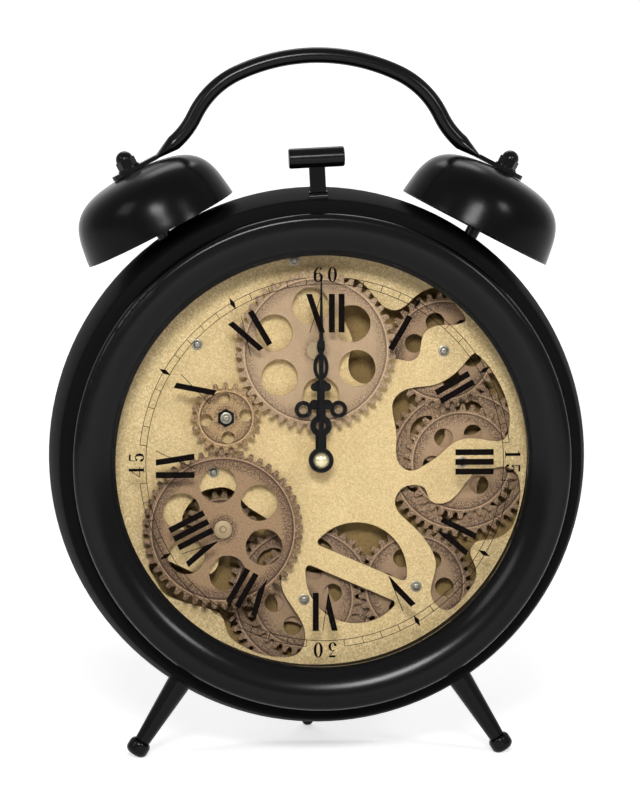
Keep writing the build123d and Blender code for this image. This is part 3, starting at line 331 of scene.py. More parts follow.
def stippled_bronze(name, centre, step, face, weight):
    finish = Finish(name)
    radius = finish.distance(centre)
    grain = finish.noise(0.5 * MM, 2.0, 0.6)
    dabs = finish.noise(0.9 * MM, 5.0, 0.8)
    cloud = finish.noise(9 * MM, 4.0, 0.6)

    def ring(limits):
        return finish.between(radius, step + limits[0], step + limits[1])

    inside = ring(FACE_MASK)
    # A dark line at the foot of the step: painted shade
    line = ring(STEP_SHADE_MASK) * inside
    # Heavier stipple inside the step: stipple, and partly painted shade under the rim
    shade = ring(SHADE_MASK) * inside
    # A pale band on the edge of the step: a painted highlight
    edge_highlight = ring(HIGHLIGHT_START) * ring(HIGHLIGHT_END)
    hub = finish.between(radius, HUB_CLEAR, HUB_DARK)
    heavy = (shade * 1.3 + hub * 1.1 + (1 - inside) + 0.3) * weight
    base = finish.mix(cloud, toned(face, 0.9), toned(face, 1.15))
    stipple = (finish.between(dabs, 0.40, 0.60) * heavy).clamped() * 0.85
    dabbed = finish.mix(stipple, base, GEAR_STAIN)
    # Painted shade along the foot of the step, then a painted highlight on its edge
    step_shaded = finish.mix((line * (0.25 + 0.45 * weight)).clamped(), dabbed, GEAR_STAIN)
    pale = toned(face, 1.5)
    highlighted = finish.mix(edge_highlight * 0.6, step_shaded, pale)
    glints = finish.between(grain, 0.58, 0.74) * 0.3
    return finish.principled(
        Base_Color=finish.mix(glints, highlighted, pale),
        Metallic=0.1,
        Roughness=0.55 + grain * 0.15,
        Specular_IOR_Level=0.2,
        Normal=finish.bump(dabs, 0.05 * MM, 0.3),
    )


# %% Stipple the gears
FRONT_STEP = 40.3 * MM
IDLER_STEP = 14.9 * MM
GREAT_STEP = 38.7 * MM
SMALL_STEP = 27.7 * MM
# Each gear: the joint it turns on, the radius of its step, its colour and the weight of its stipple
GEARS = [
    ("upper_gear", "upper_gear_spin", FRONT_STEP, (0.50, 0.345, 0.215), 0.55),
    ("idler_gear", "idler_gear_spin", IDLER_STEP, (0.50, 0.325, 0.165), 0.9),
    ("lower_gear", "lower_gear_spin", FRONT_STEP, (0.385, 0.245, 0.14), 1.5),
    ("lower_pinion", "lower_gear_spin", IDLER_STEP, (0.36, 0.245, 0.15), 0.7),
    ("bottom_great_wheel", "bottom_wheels_spin", GREAT_STEP, (0.42, 0.28, 0.18), 0.9),
    ("bottom_small_wheel", "bottom_wheels_spin", SMALL_STEP, (0.37, 0.245, 0.15), 0.8),
    ("lower_right_wheel", "lower_right_wheel_spin", SMALL_STEP, (0.39, 0.26, 0.16), 0.9),
    ("right_great_wheel", "right_wheels_spin", GREAT_STEP, (0.42, 0.275, 0.165), 0.9),
    ("right_small_wheel", "right_wheels_spin", SMALL_STEP, (0.44, 0.29, 0.175), 0.9),
    ("upper_right_wheel", "upper_right_wheel_spin", SMALL_STEP, (0.44, 0.29, 0.175), 0.9),
]
for gear, joint, step, face, weight in GEARS:
    dress(stippled_bronze(gear + " bronze", places[joint], step, face, weight), gear)

# %% [markdown]
# The board behind the wheels
#
# Through the windows the eye reaches the board that carries the movement. It is fibreboard painted an old
# gold, and it lies in shade, so it reads as a dark olive brown.

# %% Paint the board
BOARD_SHADE, BOARD_LIGHT = (0.27, 0.175, 0.065), (0.36, 0.24, 0.10)
BOARD_SPECKLE = (0.09, 0.06, 0.025)


def old_gold_board():
    finish = Finish("old gold board")
    grain = finish.noise(1.2 * MM, 3.0, 0.6)
    cloud = finish.noise(22 * MM, 3.0)
    painted = finish.mix(cloud, BOARD_SHADE, BOARD_LIGHT)
    speckles = finish.between(grain, 0.5, 0.7) * 0.4
    return finish.principled(
        Base_Color=finish.mix(speckles, painted, BOARD_SPECKLE),
        Roughness=0.6 + grain * 0.2,
        Specular_IOR_Level=0.1,
        Normal=finish.bump(grain, 0.05 * MM, 0.3),
    )


dress(old_gold_board(), "gear_board")

# %% [markdown]
# Small metal
#
# Screws, axles and posts are zinc plated and the wheels under the hands are brass. The nut on the hands is
# a paler brass, and the nut behind them and the gears' studs have a gold tone that is only partly metal.
# Plating is duller than bare metal and a little uneven, so one function makes every metal and takes its
# colour, its roughness, how streaky it is and how metallic.


# %% Plate and polish
def metal(name, colour, rough, streak, metallic=1.0):
    finish = Finish(name)
    cloud = finish.noise(2.5 * MM, 3.0)
    tint = finish.mix(cloud * streak, colour, toned(colour, 0.55))
    return finish.principled(Base_Color=tint, Metallic=metallic, Roughness=rough + cloud * 0.12)


zinc = metal("zinc plate", (0.62, 0.61, 0.58), 0.28, 0.6)
brass = metal("polished brass", (0.86, 0.72, 0.42), 0.16, 0.3)
pale_brass = metal("pale brass", (0.80, 0.71, 0.45), 0.22, 0.2, 0.75)
satin_gold = metal("satin gold", (0.72, 0.53, 0.26), 0.45, 0.3, 0.3)
tan_gold = metal("tan gold", (0.42, 0.31, 0.18), 0.5, 0.5, 0.5)
dull_steel = metal("dull steel", (0.30, 0.275, 0.225), 0.34, 0.6)
copper = metal("varnished copper", (0.66, 0.32, 0.15), 0.3, 0.5)
dress(
    zinc, "case_screws", "dial_screws", "dial_axles", "board_posts", "idler_gear_screw", "drive_motor",
    "cell_contacts", "leg_nuts", "bell_nuts",
)
dress(brass, "hour_wheel", "minute_arbor", "minute_wheel")
dress(pale_brass, "hand_nut")
dress(satin_gold, "bush_nut")
dress(tan_gold, "upper_gear_stud", "lower_gear_shaft")
dress(copper, "stepper_coil")

# %% [markdown]
# The hands
#
# The hands are cut from steel sheet and blackened. The black is a thin skin without the orange peel of
# sprayed paint, only a little cloudy.


# %% Blacken the hands
def blackened_steel():
    finish = Finish("blackened steel")
    cloud = finish.noise(5 * MM, 3.0)
    colour = finish.mix(cloud, (0.003, 0.003, 0.0033), (0.007, 0.007, 0.0075))
    return finish.principled(Base_Color=colour, Roughness=0.32 + cloud * 0.12, Specular_IOR_Level=0.1)


black_steel = blackened_steel()
dress(black_steel, "hour_hand", "minute_hand")

# %% [markdown]
# Plastic and rubber
#
# The movement and the gear drive are moulded in black plastic with a fine spark texture, and show through
# the window in the back together with a cell. The glass is held between two rubber rings. One function
# makes each of them and takes its colour, its roughness and the depth of its texture.


# %% Mould the plastic
def moulded(name, colour, rough, texture):
    finish = Finish(name)
    spark = finish.noise(0.9 * MM)
    cloud = finish.noise(30 * MM)
    return finish.principled(
        Base_Color=finish.mix(cloud * 0.6, colour, toned(colour, 1.5)),
        Roughness=rough + spark * 0.15,
        Normal=finish.bump(spark, texture, 0.5),
    )


black_plastic = moulded("black moulded plastic", (0.022, 0.022, 0.024), 0.42, 0.06 * MM)
black_rubber = moulded("black rubber", (0.018, 0.018, 0.018), 0.7, 0.04 * MM)
cell_jacket = moulded("cell jacket", (0.10, 0.16, 0.125), 0.25, 0.01 * MM)
laminate = moulded("green laminate", (0.03, 0.16, 0.07), 0.4, 0.02 * MM)
dress(
    black_plastic, "movement_case", "movement_cover", "train_bridge", "setting_knob", "drive_case",
    "drive_cover", "cell_holder", "axle_collars",
)
dress(black_rubber, "glass_gasket", "glass_backing_ring")
dress(cell_jacket, "dry_cells")
dress(laminate, "circuit_board")

# %% [markdown]
# Window glass
#
# The glass is thin and flat, so it bends light too little to see. It is a clear sheet that only adds a
# reflection: none face on and a strong one at a slant. The Fresnel node would turn the rear face into a
# mirror at a slant, because it counts on bent rays, so the fifth power of Facing takes its place.

# %% Glaze the front
GLASS_CLEAR = (0.985, 0.99, 0.985, 1)
GLASS_ROUGH = 0.12
SLANT_POWER = 5


def clear_glass():
    finish = Finish("clear glass")
    gloss = finish.node("ShaderNodeBsdfGlossy", None, {"Color": (1, 1, 1, 1), "Roughness": GLASS_ROUGH})
    clear = finish.node("ShaderNodeBsdfTransparent", None, {"Color": GLASS_CLEAR})
    facing = finish.node("ShaderNodeLayerWeight", None, {"Blend": 0.5}, output="Facing")
    blend = {0: facing ** SLANT_POWER, 1: clear, 2: gloss}
    return finish.surface(finish.node("ShaderNodeMixShader", None, blend))


dress(clear_glass(), "front_glass")

# %% [markdown]
# The print on the glass
#
# The hours and the minute track aren't on the dial: they are printed on the rear of the glass, so they
# float over the gears. The print is drawn flat, on the XY plane about the dial's centre, and then stood up
# against the glass. First come the helpers that every part of the print needs.


# %% Copy, join and turn
def deselect():
    if bpy.context.object and bpy.context.object.mode != "OBJECT":
        bpy.ops.object.mode_set(mode="OBJECT")
    bpy.ops.object.select_all(action="DESELECT")


def picked(piece):
    """Makes a piece the only one that operators act on."""
    deselect()
    piece.select_set(True)
    bpy.context.view_layer.objects.active = piece
    return piece


def settled():
    """Puts the active piece's place, turn and scale into its mesh."""
    bpy.ops.object.transform_apply(location=True, rotation=True, scale=True)
    return bpy.context.object


def copied(piece):
    """A copy of a piece, with its own mesh."""
    twin = piece.copy()
    twin.data = piece.data.copy()
    bpy.context.collection.objects.link(twin)
    return twin


def discard(patterns):
    """Removes the pieces that others were copied from."""
    for pattern in patterns:
        bpy.data.meshes.remove(pattern.data)


def joined(pieces, name):
    """Joins pieces into one object."""
    whole = picked(pieces[0])
    for piece in pieces:
        piece.select_set(True)
    if len(pieces) > 1:
        bpy.ops.object.join()
    whole.name = name
    return whole


def moved(piece, x, y):
    """Moves a flat piece across its plane."""
    piece.data.transform(Matrix.Translation((x, y, 0)))
    return piece


def turned(piece, angle):
    """Turns a flat piece clockwise about the dial's centre, as seen from the front."""
    piece.data.transform(Matrix.Rotation(-angle, 4, "Z"))
    return piece


# %% Lay a print on the glass
PRINT_THICKNESS = 0.06 * MM
GLASS_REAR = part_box("front_glass")[1].y
PRINT_Y = GLASS_REAR + PRINT_THICKNESS
# The print sits a little to the right of the dial's axis, and below it
PRINT_SHIFT = Vector((1.9 * MM, 0, -0.95 * MM))


def on_glass(piece):
    """Lays a flat print on the rear of the glass, gives it its ink's thickness and fixes it to the case."""
    picked(piece)
    piece.rotation_euler = (radians(90), 0, 0)
    piece.location = Vector((axis.x, PRINT_Y, axis.z)) + PRINT_SHIFT
    settled()
    ink = piece.modifiers.new("ink", "SOLIDIFY")
    ink.thickness = PRINT_THICKNESS
    ink.offset = 0
    bpy.ops.object.modifier_apply(modifier="ink")
    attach(piece, "case")
    print(piece.name, len(piece.data.polygons), "faces")
    return piece


print("rear of the glass at", round(GLASS_REAR, 4), "m")

# %% [markdown]
# The Roman hours
#
# A thick stroke and a hairline make every letter. Each stroke starts as a plane, is turned, and is cut
# level at both ends by bisecting, as a sign writer would rule it. The foot of a V is cut once more, along
# its hairline, so that it ends in a point. A letter is drawn once and copied into the hours that use it.

# %% Draw a stroke
HOUR_INNER, HOUR_OUTER = 73.9 * MM, 95.7 * MM
HOUR_RISE = HOUR_OUTER - HOUR_INNER
HOUR_MIDDLE = (HOUR_INNER + HOUR_OUTER) / 2


def stroke(outer_x, inner_x, width):
    """A flat stroke of a level width, from the outer radius down to the inner one."""
    run = outer_x - inner_x
    slope = hypot(HOUR_RISE, run)
    deselect()
    bpy.ops.mesh.primitive_plane_add(size=1, location=((outer_x + inner_x) / 2, HOUR_MIDDLE, 0))
    piece = bpy.context.object
    piece.scale = (width * HOUR_RISE / slope, slope + 2 * width, 1)
    piece.rotation_euler = (0, 0, Vector((run, HOUR_RISE)).angle_signed(Vector((0, 1))))
    settled()
    bpy.ops.object.mode_set(mode="EDIT")
    bpy.ops.mesh.select_all(action="SELECT")
    bpy.ops.mesh.bisect(plane_co=(0, HOUR_OUTER, 0), plane_no=(0, 1, 0), clear_outer=True)
    bpy.ops.mesh.select_all(action="SELECT")
    bpy.ops.mesh.bisect(plane_co=(0, HOUR_INNER, 0), plane_no=(0, 1, 0), clear_inner=True)
    bpy.ops.object.mode_set(mode="OBJECT")
    return piece


def pointed(piece, outer_x, inner_x, side):
    """Cuts a thick stroke along the hairline that meets it, so that the foot of a V ends in a point."""
    picked(piece)
    across = Vector((HOUR_RISE, inner_x - outer_x, 0)).normalized() * side
    bpy.ops.object.mode_set(mode="EDIT")
    bpy.ops.mesh.select_all(action="SELECT")
    bpy.ops.mesh.bisect(plane_co=(inner_x, HOUR_INNER, 0), plane_no=across, clear_outer=True)
    bpy.ops.object.mode_set(mode="OBJECT")


# %% Draw the letters
THICK, HAIR = 3.4 * MM, 0.4 * MM
# Each letter's width and strokes: a stroke's place at its outer end and at its inner end, and its width.
# A small v is a V whose hairline comes first, as in the four, and a small x is the steeper X of the nine.
GLYPHS = {
    "I": (3.4 * MM, [(1.7 * MM, 1.7 * MM, THICK)]),
    "V": (8.7 * MM, [(1.7 * MM, 7.0 * MM, THICK), (8.5 * MM, 5.4 * MM, HAIR)]),
    "v": (8.7 * MM, [(7.0 * MM, 1.7 * MM, THICK), (0.2 * MM, 3.3 * MM, HAIR)]),
    "X": (10.8 * MM, [(1.7 * MM, 9.1 * MM, THICK), (8.7 * MM, 2.2 * MM, HAIR)]),
    "x": (10.2 * MM, [(3.3 * MM, 6.6 * MM, THICK), (10.0 * MM, -0.4 * MM, HAIR)]),
}
# Which side of its hairline the foot of a V keeps
POINT_SIDES = {"V": 1, "v": -1}


def glyph(letter):
    """One letter, drawn from its left edge."""
    lines = GLYPHS[letter][1]
    strokes = [stroke(*line) for line in lines]
    if letter in POINT_SIDES:
        hairline = lines[1]
        pointed(strokes[0], hairline[0], hairline[1], POINT_SIDES[letter])
    return joined(strokes, "letter_" + letter)


letters = {letter: glyph(letter) for letter in GLYPHS}
print("letters", len(letters))

# %% Set the hours
HOURS = ["XII", "I", "II", "III", "Iv", "V", "VI", "VII", "VIII", "Ix", "X", "XI"]
HOUR_STEP = tau / len(HOURS)
GLYPH_GAP = 2.1 * MM
# Two hours are turned a little about their own middles
TILTS = {"Iv": radians(-3), "VIII": radians(3)}


def roman(text):
    """The letters of one hour in a row, at the top of the dial."""
    widths = [GLYPHS[letter][0] for letter in text]
    left = -(sum(widths) + GLYPH_GAP * (len(text) - 1)) / 2
    row = []
    for letter, width in zip(text, widths):
        row.append(moved(copied(letters[letter]), left, 0))
        left += width + GLYPH_GAP
    return joined(row, "hour_" + text)


def tilted(piece, angle):
    """Turns an hour clockwise about its own middle."""
    return moved(turned(moved(piece, 0, -HOUR_MIDDLE), angle), 0, HOUR_MIDDLE)


hours = []
for index, text in enumerate(HOURS):
    hour = tilted(roman(text), TILTS.get(text, 0))
    hours.append(turned(hour, index * HOUR_STEP))
discard(letters.values())
numerals = on_glass(joined(hours, "roman_hours"))

# %% [markdown]
# The minute track
#
# Two fine circles carry a tick at each minute and a diamond at each fifth. A circle is a filled disc, inset
# by the width of the line, with its middle deleted. Near the four numbers the outer circle leaves a gap.

# %% Draw the circles
TRACK_INNER, TRACK_OUTER = 101.3 * MM, 105.1 * MM
LINE = 0.36 * MM
MINUTE = tau / 60
QUARTER = tau / 4
CIRCLE_STEPS = 480


def delete_faces(piece, unwanted):
    """Deletes the faces of the active piece for which a test of their middle is true."""
    for face in piece.data.polygons:
        face.select = unwanted(face.center.to_2d())
    bpy.ops.object.mode_set(mode="EDIT")
    bpy.ops.mesh.delete(type="FACE")
    bpy.ops.object.mode_set(mode="OBJECT")


def at_a_number(point):
    """True within a minute of one of the four numbers."""
    angle = Vector((0, 1)).angle_signed(point)
    return abs((angle + QUARTER / 2) % QUARTER - QUARTER / 2) < MINUTE


def circle_line(radius):
    deselect()
    bpy.ops.mesh.primitive_circle_add(vertices=CIRCLE_STEPS, radius=radius + LINE / 2, fill_type="NGON")
    piece = bpy.context.object
    bpy.ops.object.mode_set(mode="EDIT")
    bpy.ops.mesh.select_all(action="SELECT")
    bpy.ops.mesh.inset(thickness=LINE)
    bpy.ops.mesh.delete(type="FACE")
    bpy.ops.object.mode_set(mode="OBJECT")
    return piece


inner_circle = circle_line(TRACK_INNER)
outer_circle = circle_line(TRACK_OUTER)
delete_faces(outer_circle, at_a_number)
print("outer circle", len(outer_circle.data.polygons), "of", CIRCLE_STEPS, "faces")

# %% Mark the minutes
TRACK_MIDDLE = (TRACK_INNER + TRACK_OUTER) / 2
DIAMOND_LONG, DIAMOND_WIDE = 7.6 * MM, 2.6 * MM
DIAMOND_MIDDLE = TRACK_MIDDLE + 1.2 * MM


def tick():
    deselect()
    bpy.ops.mesh.primitive_plane_add(size=1, location=(0, TRACK_MIDDLE, 0))
    bpy.context.object.scale = (LINE, TRACK_OUTER - TRACK_INNER, 1)
    return settled()


def diamond():
    deselect()
    middle = (0, DIAMOND_MIDDLE, 0)
    bpy.ops.mesh.primitive_circle_add(vertices=4, radius=0.5, fill_type="NGON", location=middle)
    bpy.context.object.scale = (DIAMOND_WIDE, DIAMOND_LONG, 1)
    return settled()


minute_tick, fifth_diamond = tick(), diamond()
marks = []
for minute in range(60):
    if minute % 15:
        mark = minute_tick if minute % 5 else fifth_diamond
        marks.append(turned(copied(mark), minute * MINUTE))
discard([minute_tick, fifth_diamond])
track = on_glass(joined([inner_circle, outer_circle] + marks, "minute_track"))

# %% [markdown]
# The four minute numbers
#
# The numbers have thick sides and hair-thin tops, as an engraver cuts them, which the built-in letters
# lack. So each digit is put together from three parts: an oval ring that may be open, a straight bar and
# a dot.

# %% Digit parts
OVAL_STEPS = 64
DOT_STEPS = 20


def oval(x, y, half_width, half_height, side, cap, start, end):
    """An oval ring, thick at its sides and thin at its caps, from one angle round to another."""
    deselect()
    bpy.ops.mesh.primitive_circle_add(vertices=OVAL_STEPS, radius=1, fill_type="NGON")
    piece = bpy.context.object
    bpy.ops.object.mode_set(mode="EDIT")
    bpy.ops.mesh.select_all(action="SELECT")
    bpy.ops.mesh.inset(thickness=0.5)
    inner = (2 * (1 - side / half_width), 2 * (1 - cap / half_height), 1)
    bpy.ops.transform.resize(value=inner, center_override=(0, 0, 0))
    bpy.ops.mesh.delete(type="FACE")
    bpy.ops.object.mode_set(mode="OBJECT")

    def outside(point):
        return (-Vector((1, 0)).angle_signed(point) - start) % tau > end - start

    delete_faces(piece, outside)
    piece.data.transform(Matrix.Diagonal((half_width, half_height, 1, 1)))
    return moved(piece, x, y)


def bar(start_x, start_y, end_x, end_y, width):
    """A straight bar from one point to another."""
    run = Vector((end_x - start_x, end_y - start_y))
    deselect()
    bpy.ops.mesh.primitive_plane_add(size=1, location=((start_x + end_x) / 2, (start_y + end_y) / 2, 0))
    piece = bpy.context.object
    piece.scale = (run.length, width, 1)
    piece.rotation_euler = (0, 0, -Vector((1, 0)).angle_signed(run))
    return settled()


def dot(x, y, radius):
    deselect()
    bpy.ops.mesh.primitive_circle_add(vertices=DOT_STEPS, radius=radius, fill_type="NGON")
    return moved(bpy.context.object, x, y)


# %% Draw the digits
# Parts of each digit, in units of its height, about a middle line
DIGITS = {
    "0": [(oval, (0, 0.5, 0.3, 0.5, 0.18, 0.05, 0, tau))],
    "1": [
        (bar, (0, 0, 0, 1, 0.19)),
        (bar, (-0.2, 0.025, 0.2, 0.025, 0.05)),
        (bar, (0.02, 0.97, -0.2, 0.85, 0.07)),
    ],
    "3": [
        (bar, (-0.2, 0.93, 0.2, 0.93, 0.13)),
        (bar, (0.22, 0.97, -0.06, 0.57, 0.045)),
        (oval, (-0.02, 0.29, 0.28, 0.29, 0.18, 0.05, radians(-150), radians(115))),
        (dot, (-0.2, 0.19, 0.08)),
    ],
    "4": [
        (bar, (0.1, 0, 0.1, 1, 0.18)),
        (bar, (0.12, 0.98, -0.36, 0.29, 0.05)),
        (bar, (-0.36, 0.29, 0.3, 0.29, 0.05)),
        (bar, (-0.08, 0.025, 0.28, 0.025, 0.05)),
    ],
    "5": [
        (bar, (-0.2, 0.93, 0.2, 0.93, 0.12)),
        (bar, (-0.2, 0.97, -0.23, 0.48, 0.045)),
        (oval, (-0.02, 0.3, 0.29, 0.3, 0.18, 0.05, radians(-150), radians(140))),
        (dot, (-0.2, 0.19, 0.08)),
    ],
    "6": [
        (oval, (0, 0.31, 0.3, 0.31, 0.17, 0.05, 0, tau)),
        (oval, (0.1, 0.5, 0.4, 0.5, 0.17, 0.05, radians(80), radians(200))),
        (dot, (0.17, 0.87, 0.07)),
    ],
}


def drawn(digit):
    return joined([make(*measures) for make, measures in DIGITS[digit]], "digit_" + digit)


digits = {digit: drawn(digit) for digit in DIGITS}
print("digits", len(digits))

# %% Set the numbers
NUMBERS = ("60", "15", "30", "45")
NUMBER_RADIUS = 106.6 * MM
NUMBER_HEIGHT = 8.7 * MM
# Between the middles of two digits, in units of their height
DIGIT_STEP = 0.92


def number(text):
    """Two digits side by side, tops outward, at the top of the dial."""
    left, right = [copied(digits[digit]) for digit in text]
    pair = [moved(left, -DIGIT_STEP / 2, -0.5), moved(right, DIGIT_STEP / 2, -0.5)]
    whole = joined(pair, "number_" + text)
    whole.data.transform(Matrix.Scale(NUMBER_HEIGHT, 4))
    return moved(whole, 0, NUMBER_RADIUS)


quarters = [turned(number(text), turn * QUARTER) for turn, text in enumerate(NUMBERS)]
discard(digits.values())
numbers = on_glass(joined(quarters, "minute_numbers"))

# %% [markdown]
# Printing ink
#
# The ink is a brownish black, a little thinner in places. It lies behind the glass and hardly shines: the
# glass does that for it.


# %% Ink the print
def printing_ink():
    finish = Finish("brown black ink")
    wear = finish.noise(2.0 * MM, 3.0)
    colour = finish.mix(wear, (0.0035, 0.002, 0.002), (0.007, 0.0045, 0.004))
    return finish.principled(Base_Color=colour, Roughness=0.55 + wear * 0.1, Specular_IOR_Level=0.03)


dress(printing_ink(), numerals, track, numbers)

# %% [markdown]
# Screw heads
#
# Up close the screws on the dial are more than discs: a washer, a domed head and a socket. One head is
# modelled from a disc by an extrusion and insets, then copied to every screw.

# %% Model one screw head
HEAD_STEPS = 48
WASHER_RADIUS, WASHER_THICKNESS = 3.2 * MM, 0.4 * MM
# Each inset goes so far in and so far up
WASHER_INSETS = [(0.25 * MM, 0.1 * MM), (0.85 * MM, 0)]
DOME_INSETS = [(0.0001 * MM, 0.7 * MM), (0.35 * MM, 0.35 * MM), (0.55 * MM, 0.22 * MM)]
SOCKET_INSETS = [(0.45 * MM, 0.03 * MM), (0.05 * MM, -0.5 * MM)]
HEAD_INSETS = WASHER_INSETS + DOME_INSETS + SOCKET_INSETS


def turned_disc(name, radius, thickness, insets, sides=HEAD_STEPS):
    """A disc with its front shaped by insets, on the XY plane and facing +Z."""
    deselect()
    bpy.ops.mesh.primitive_circle_add(vertices=sides, radius=radius, fill_type="NGON")
    piece = bpy.context.object
    piece.name = name
    bpy.ops.object.mode_set(mode="EDIT")
    bpy.ops.mesh.select_all(action="SELECT")
    bpy.ops.mesh.extrude_region_move(TRANSFORM_OT_translate={"value": (0, 0, thickness)})
    for width, rise in insets:
        bpy.ops.mesh.inset(thickness=width, depth=rise)
    bpy.ops.mesh.select_all(action="SELECT")
    bpy.ops.mesh.normals_make_consistent(inside=False)
    bpy.ops.object.mode_set(mode="OBJECT")
    bpy.ops.object.shade_smooth_by_angle(angle=SHARP_ANGLE)
    return piece


screw_head = turned_disc("screw_head", WASHER_RADIUS, WASHER_THICKNESS, HEAD_INSETS)
print("one screw head", len(screw_head.data.polygons), "faces")

# %% Copy it to every screw
DIAL_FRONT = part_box("dial_plate")[0].y
SCREW_REACH = 8 * MM


def faced(piece, place, depth):
    """Turns a piece made on the XY plane to the front and sets it at a place and depth."""
    seat = Matrix.Translation((place.x, depth, place.z))
    piece.data.transform(seat @ Matrix.Rotation(radians(90), 4, "X"))
    return piece


def middles(node):
    """Middle of each separate screw in a node that holds several."""
    groups = []
    for vertex in node.data.vertices:
        near = [group for group in groups if (group[0] - vertex.co).xz.length < SCREW_REACH]
        if near:
            near[0].append(vertex.co.copy())
        else:
            groups.append([vertex.co.copy()])
    lows = [[min(point[way] for point in group) for way in range(3)] for group in groups]
    highs = [[max(point[way] for point in group) for way in range(3)] for group in groups]
    return [(Vector(low) + Vector(high)) / 2 for low, high in zip(lows, highs)]


heads = [faced(copied(screw_head), place, DIAL_FRONT) for place in middles(nodes["dial_screws"])]
screw_heads = joined(heads, "dial_screw_heads")
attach(screw_heads, "case")
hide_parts("dial_screws")
print("screw heads", len(heads))

# %% [markdown]
# A nut and a cap
#
# The idler turns on a screw like those of the dial, which sits in a dark hexagon nut: a disc of six sides
# with a chamfer. The lower gear's cap has a turned edge and the end of its pin in the middle, so it is one
# more turned disc.

# %% The idler's nut and the lower gear's cap
GEAR_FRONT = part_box("idler_gear")[0].y
NUT_GAP = 0.12 * MM
NUT_RADIUS, NUT_THICKNESS, NUT_HEIGHT = 5.2 * MM, 0.5 * MM, 0.8 * MM
NUT_INSETS = [(0.5 * MM, 0.3 * MM)]
CAP_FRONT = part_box("lower_gear_shaft")[0].y
CAP_RADIUS, CAP_THICKNESS = 5.1 * MM, 0.12 * MM
CAP_INSETS = [(0.35 * MM, 0.16 * MM), (2.75 * MM, 0)]
PIN_INSETS = [(0.3 * MM, -0.35 * MM), (0.1 * MM, 0.4 * MM), (0.3 * MM, 0.08 * MM)]

idler_nut = turned_disc("idler_nut", NUT_RADIUS, NUT_THICKNESS, NUT_INSETS, sides=6)
faced(idler_nut, places["idler_gear_spin"], GEAR_FRONT - NUT_GAP)
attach(idler_nut, "case")
idler_head = faced(copied(screw_head), places["idler_gear_spin"], GEAR_FRONT - NUT_GAP - NUT_HEIGHT)
idler_head.name = "idler_screw_head"
discard([screw_head])
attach(idler_head, "case")
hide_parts("idler_gear_screw")
gear_cap = turned_disc("lower_gear_cap", CAP_RADIUS, CAP_THICKNESS, CAP_INSETS + PIN_INSETS)
faced(gear_cap, places["lower_gear_spin"], CAP_FRONT)
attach(gear_cap, "lower_gear")
dress(dull_steel, screw_heads, idler_head)
dress(black_steel, idler_nut)
dress(tan_gold, gear_cap)

# %% [markdown]
# The paper of the studio
#
# A sheet of white paper lies under the clock and bends up behind it. It adds a little white for the camera,
# and for what mirrors it, so that it stays paper white and still keeps the shadow. The rear of the paper is
# see-through, so the clock can be looked at from behind too.

# %% Floor and backdrop
FLOOR_HALF, FLOOR_FRONT, FLOOR_BACK = 4.0, 4.0, 2.0
WALL_LEAN, WALL_TOP = 1.0, 3.0
FLOOR_BEND, BEND_STEPS = 0.9, 16
NEAR = 0.01
PAPER_TONE = (0.86, 0.86, 0.86, 1)
PAPER_GLOW = 0.62


def select_back_edge(floor):
    """Selects the edge at the back of the floor, where the wall starts."""
    for edge in floor.data.edges:
        ends = [floor.data.vertices[index].co for index in edge.vertices]
        edge.select = all(abs(end.y - FLOOR_BACK) < NEAR for end in ends)


def studio_floor():
    deselect()
    bpy.ops.mesh.primitive_plane_add(size=1, location=(0, (FLOOR_BACK - FLOOR_FRONT) / 2, 0))
    bpy.context.object.scale = (2 * FLOOR_HALF, FLOOR_FRONT + FLOOR_BACK, 1)
    floor = settled()
    floor.name = "studio_floor"
    bpy.ops.object.mode_set(mode="EDIT")
    bpy.ops.mesh.select_all(action="DESELECT")
    bpy.ops.object.mode_set(mode="OBJECT")
    select_back_edge(floor)
    bpy.ops.object.mode_set(mode="EDIT")
    bpy.ops.mesh.select_mode(type="EDGE")
    bpy.ops.mesh.extrude_region_move(TRANSFORM_OT_translate={"value": (0, WALL_LEAN, WALL_TOP)})
    bpy.ops.object.mode_set(mode="OBJECT")
    select_back_edge(floor)
    bpy.ops.object.mode_set(mode="EDIT")
    bpy.ops.mesh.bevel(offset=FLOOR_BEND, segments=BEND_STEPS, affect="EDGES")
    bpy.ops.object.mode_set(mode="OBJECT")
    bpy.ops.object.shade_smooth()
    return floor


def paper_white():
    finish = Finish("paper white")
    matt = finish.node("ShaderNodeBsdfDiffuse", None, {"Color": PAPER_TONE})
    white = {"Color": (1, 1, 1, 1), "Strength": finish.seen() * PAPER_GLOW}
    glow = finish.node("ShaderNodeEmission", None, white)
    paper = finish.node("ShaderNodeAddShader", None, {0: matt, 1: glow})
    rear = finish.node("ShaderNodeNewGeometry", output="Backfacing")
    open_rear = finish.node("ShaderNodeBsdfTransparent")
    return finish.surface(finish.node("ShaderNodeMixShader", None, {0: rear, 1: paper, 2: open_rear}))


dress(paper_white(), studio_floor())

# %% [markdown]
# The light of the studio
#
# A soft box in front of the clock and above it does most of the work. Two weaker ones stand at the sides,
# and a broad one behind reaches the top and the rear. The world adds a little even light, and looks pale to
# the camera, in gloss and through glass.

# %% Lamps and world
TARGET = Vector((0, 0, 0.2))
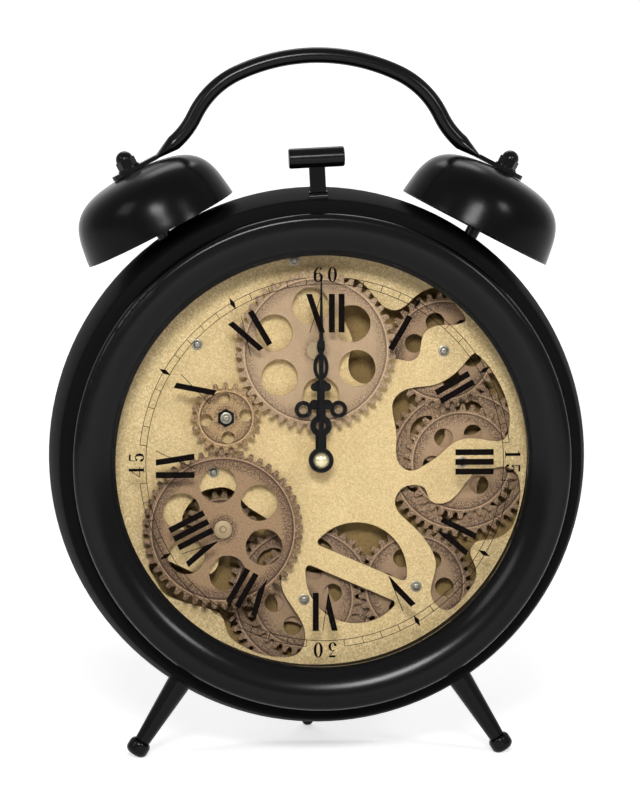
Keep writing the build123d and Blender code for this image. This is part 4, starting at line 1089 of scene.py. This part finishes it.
# Each lamp's name, place, width, height and watts
SOFT_BOXES = [
    ("front soft box", (-0.2, -2.05, 1.12), 0.62, 0.43, 33),
    ("left soft box", (-1.8, -1.2, 1.3), 0.8, 0.8, 8),
    ("right soft box", (1.3, -1.7, 1.2), 0.4, 0.45, 11),
    ("back light", (0.0, 1.4, 2.2), 1.6, 0.8, 16),
]
AMBIENT = 0.05
PALE = 0.5


def soft_box(name, place, width, height, watts):
    deselect()
    bpy.ops.object.light_add(type="AREA", location=place)
    lamp = bpy.context.object
    lamp.name = name
    lamp.data.shape = "RECTANGLE"
    lamp.data.size = width
    lamp.data.size_y = height
    lamp.data.energy = watts
    lamp.rotation_euler = (TARGET - Vector(place)).to_track_quat("-Z", "Y").to_euler()


for measures in SOFT_BOXES:
    soft_box(*measures)
sky = Finish("studio sky", bpy.data.worlds, "ShaderNodeOutputWorld")
pale_sky = {"Color": (1, 1, 1, 1), "Strength": AMBIENT + sky.seen() * PALE}
bpy.context.scene.world = sky.surface(sky.node("ShaderNodeBackground", None, pale_sky))
print("lamps", len(SOFT_BOXES))

# %% [markdown]
# The camera
#
# The picture was taken from a little to the left and above, with a long lens. The camera's place comes from
# the dial: so many degrees round, so many degrees up, and a distance at which the clock fills the frame.

# %% Set the camera
CAMERA_ROUND, CAMERA_UP = radians(-4.35), radians(5.23)
CAMERA_DISTANCE = 2.2
CAMERA_TARGET = Vector((-1.5 * MM, axis.y - 10 * MM, 203.9 * MM))
CAMERA_LENS, CAMERA_SENSOR = 174.9, 36

deselect()
bpy.ops.object.camera_add()
camera = bpy.context.object
back = Vector((sin(CAMERA_ROUND) * cos(CAMERA_UP), -cos(CAMERA_ROUND) * cos(CAMERA_UP), sin(CAMERA_UP)))
camera.location = CAMERA_TARGET + back * CAMERA_DISTANCE
camera.rotation_euler = (-back).to_track_quat("-Z", "Y").to_euler()
camera.data.sensor_width = CAMERA_SENSOR
camera.data.lens = CAMERA_LENS
bpy.context.scene.camera = camera
bpy.context.scene.view_settings.view_transform = "Standard"
print("camera", [round(value, 3) for value in camera.location])
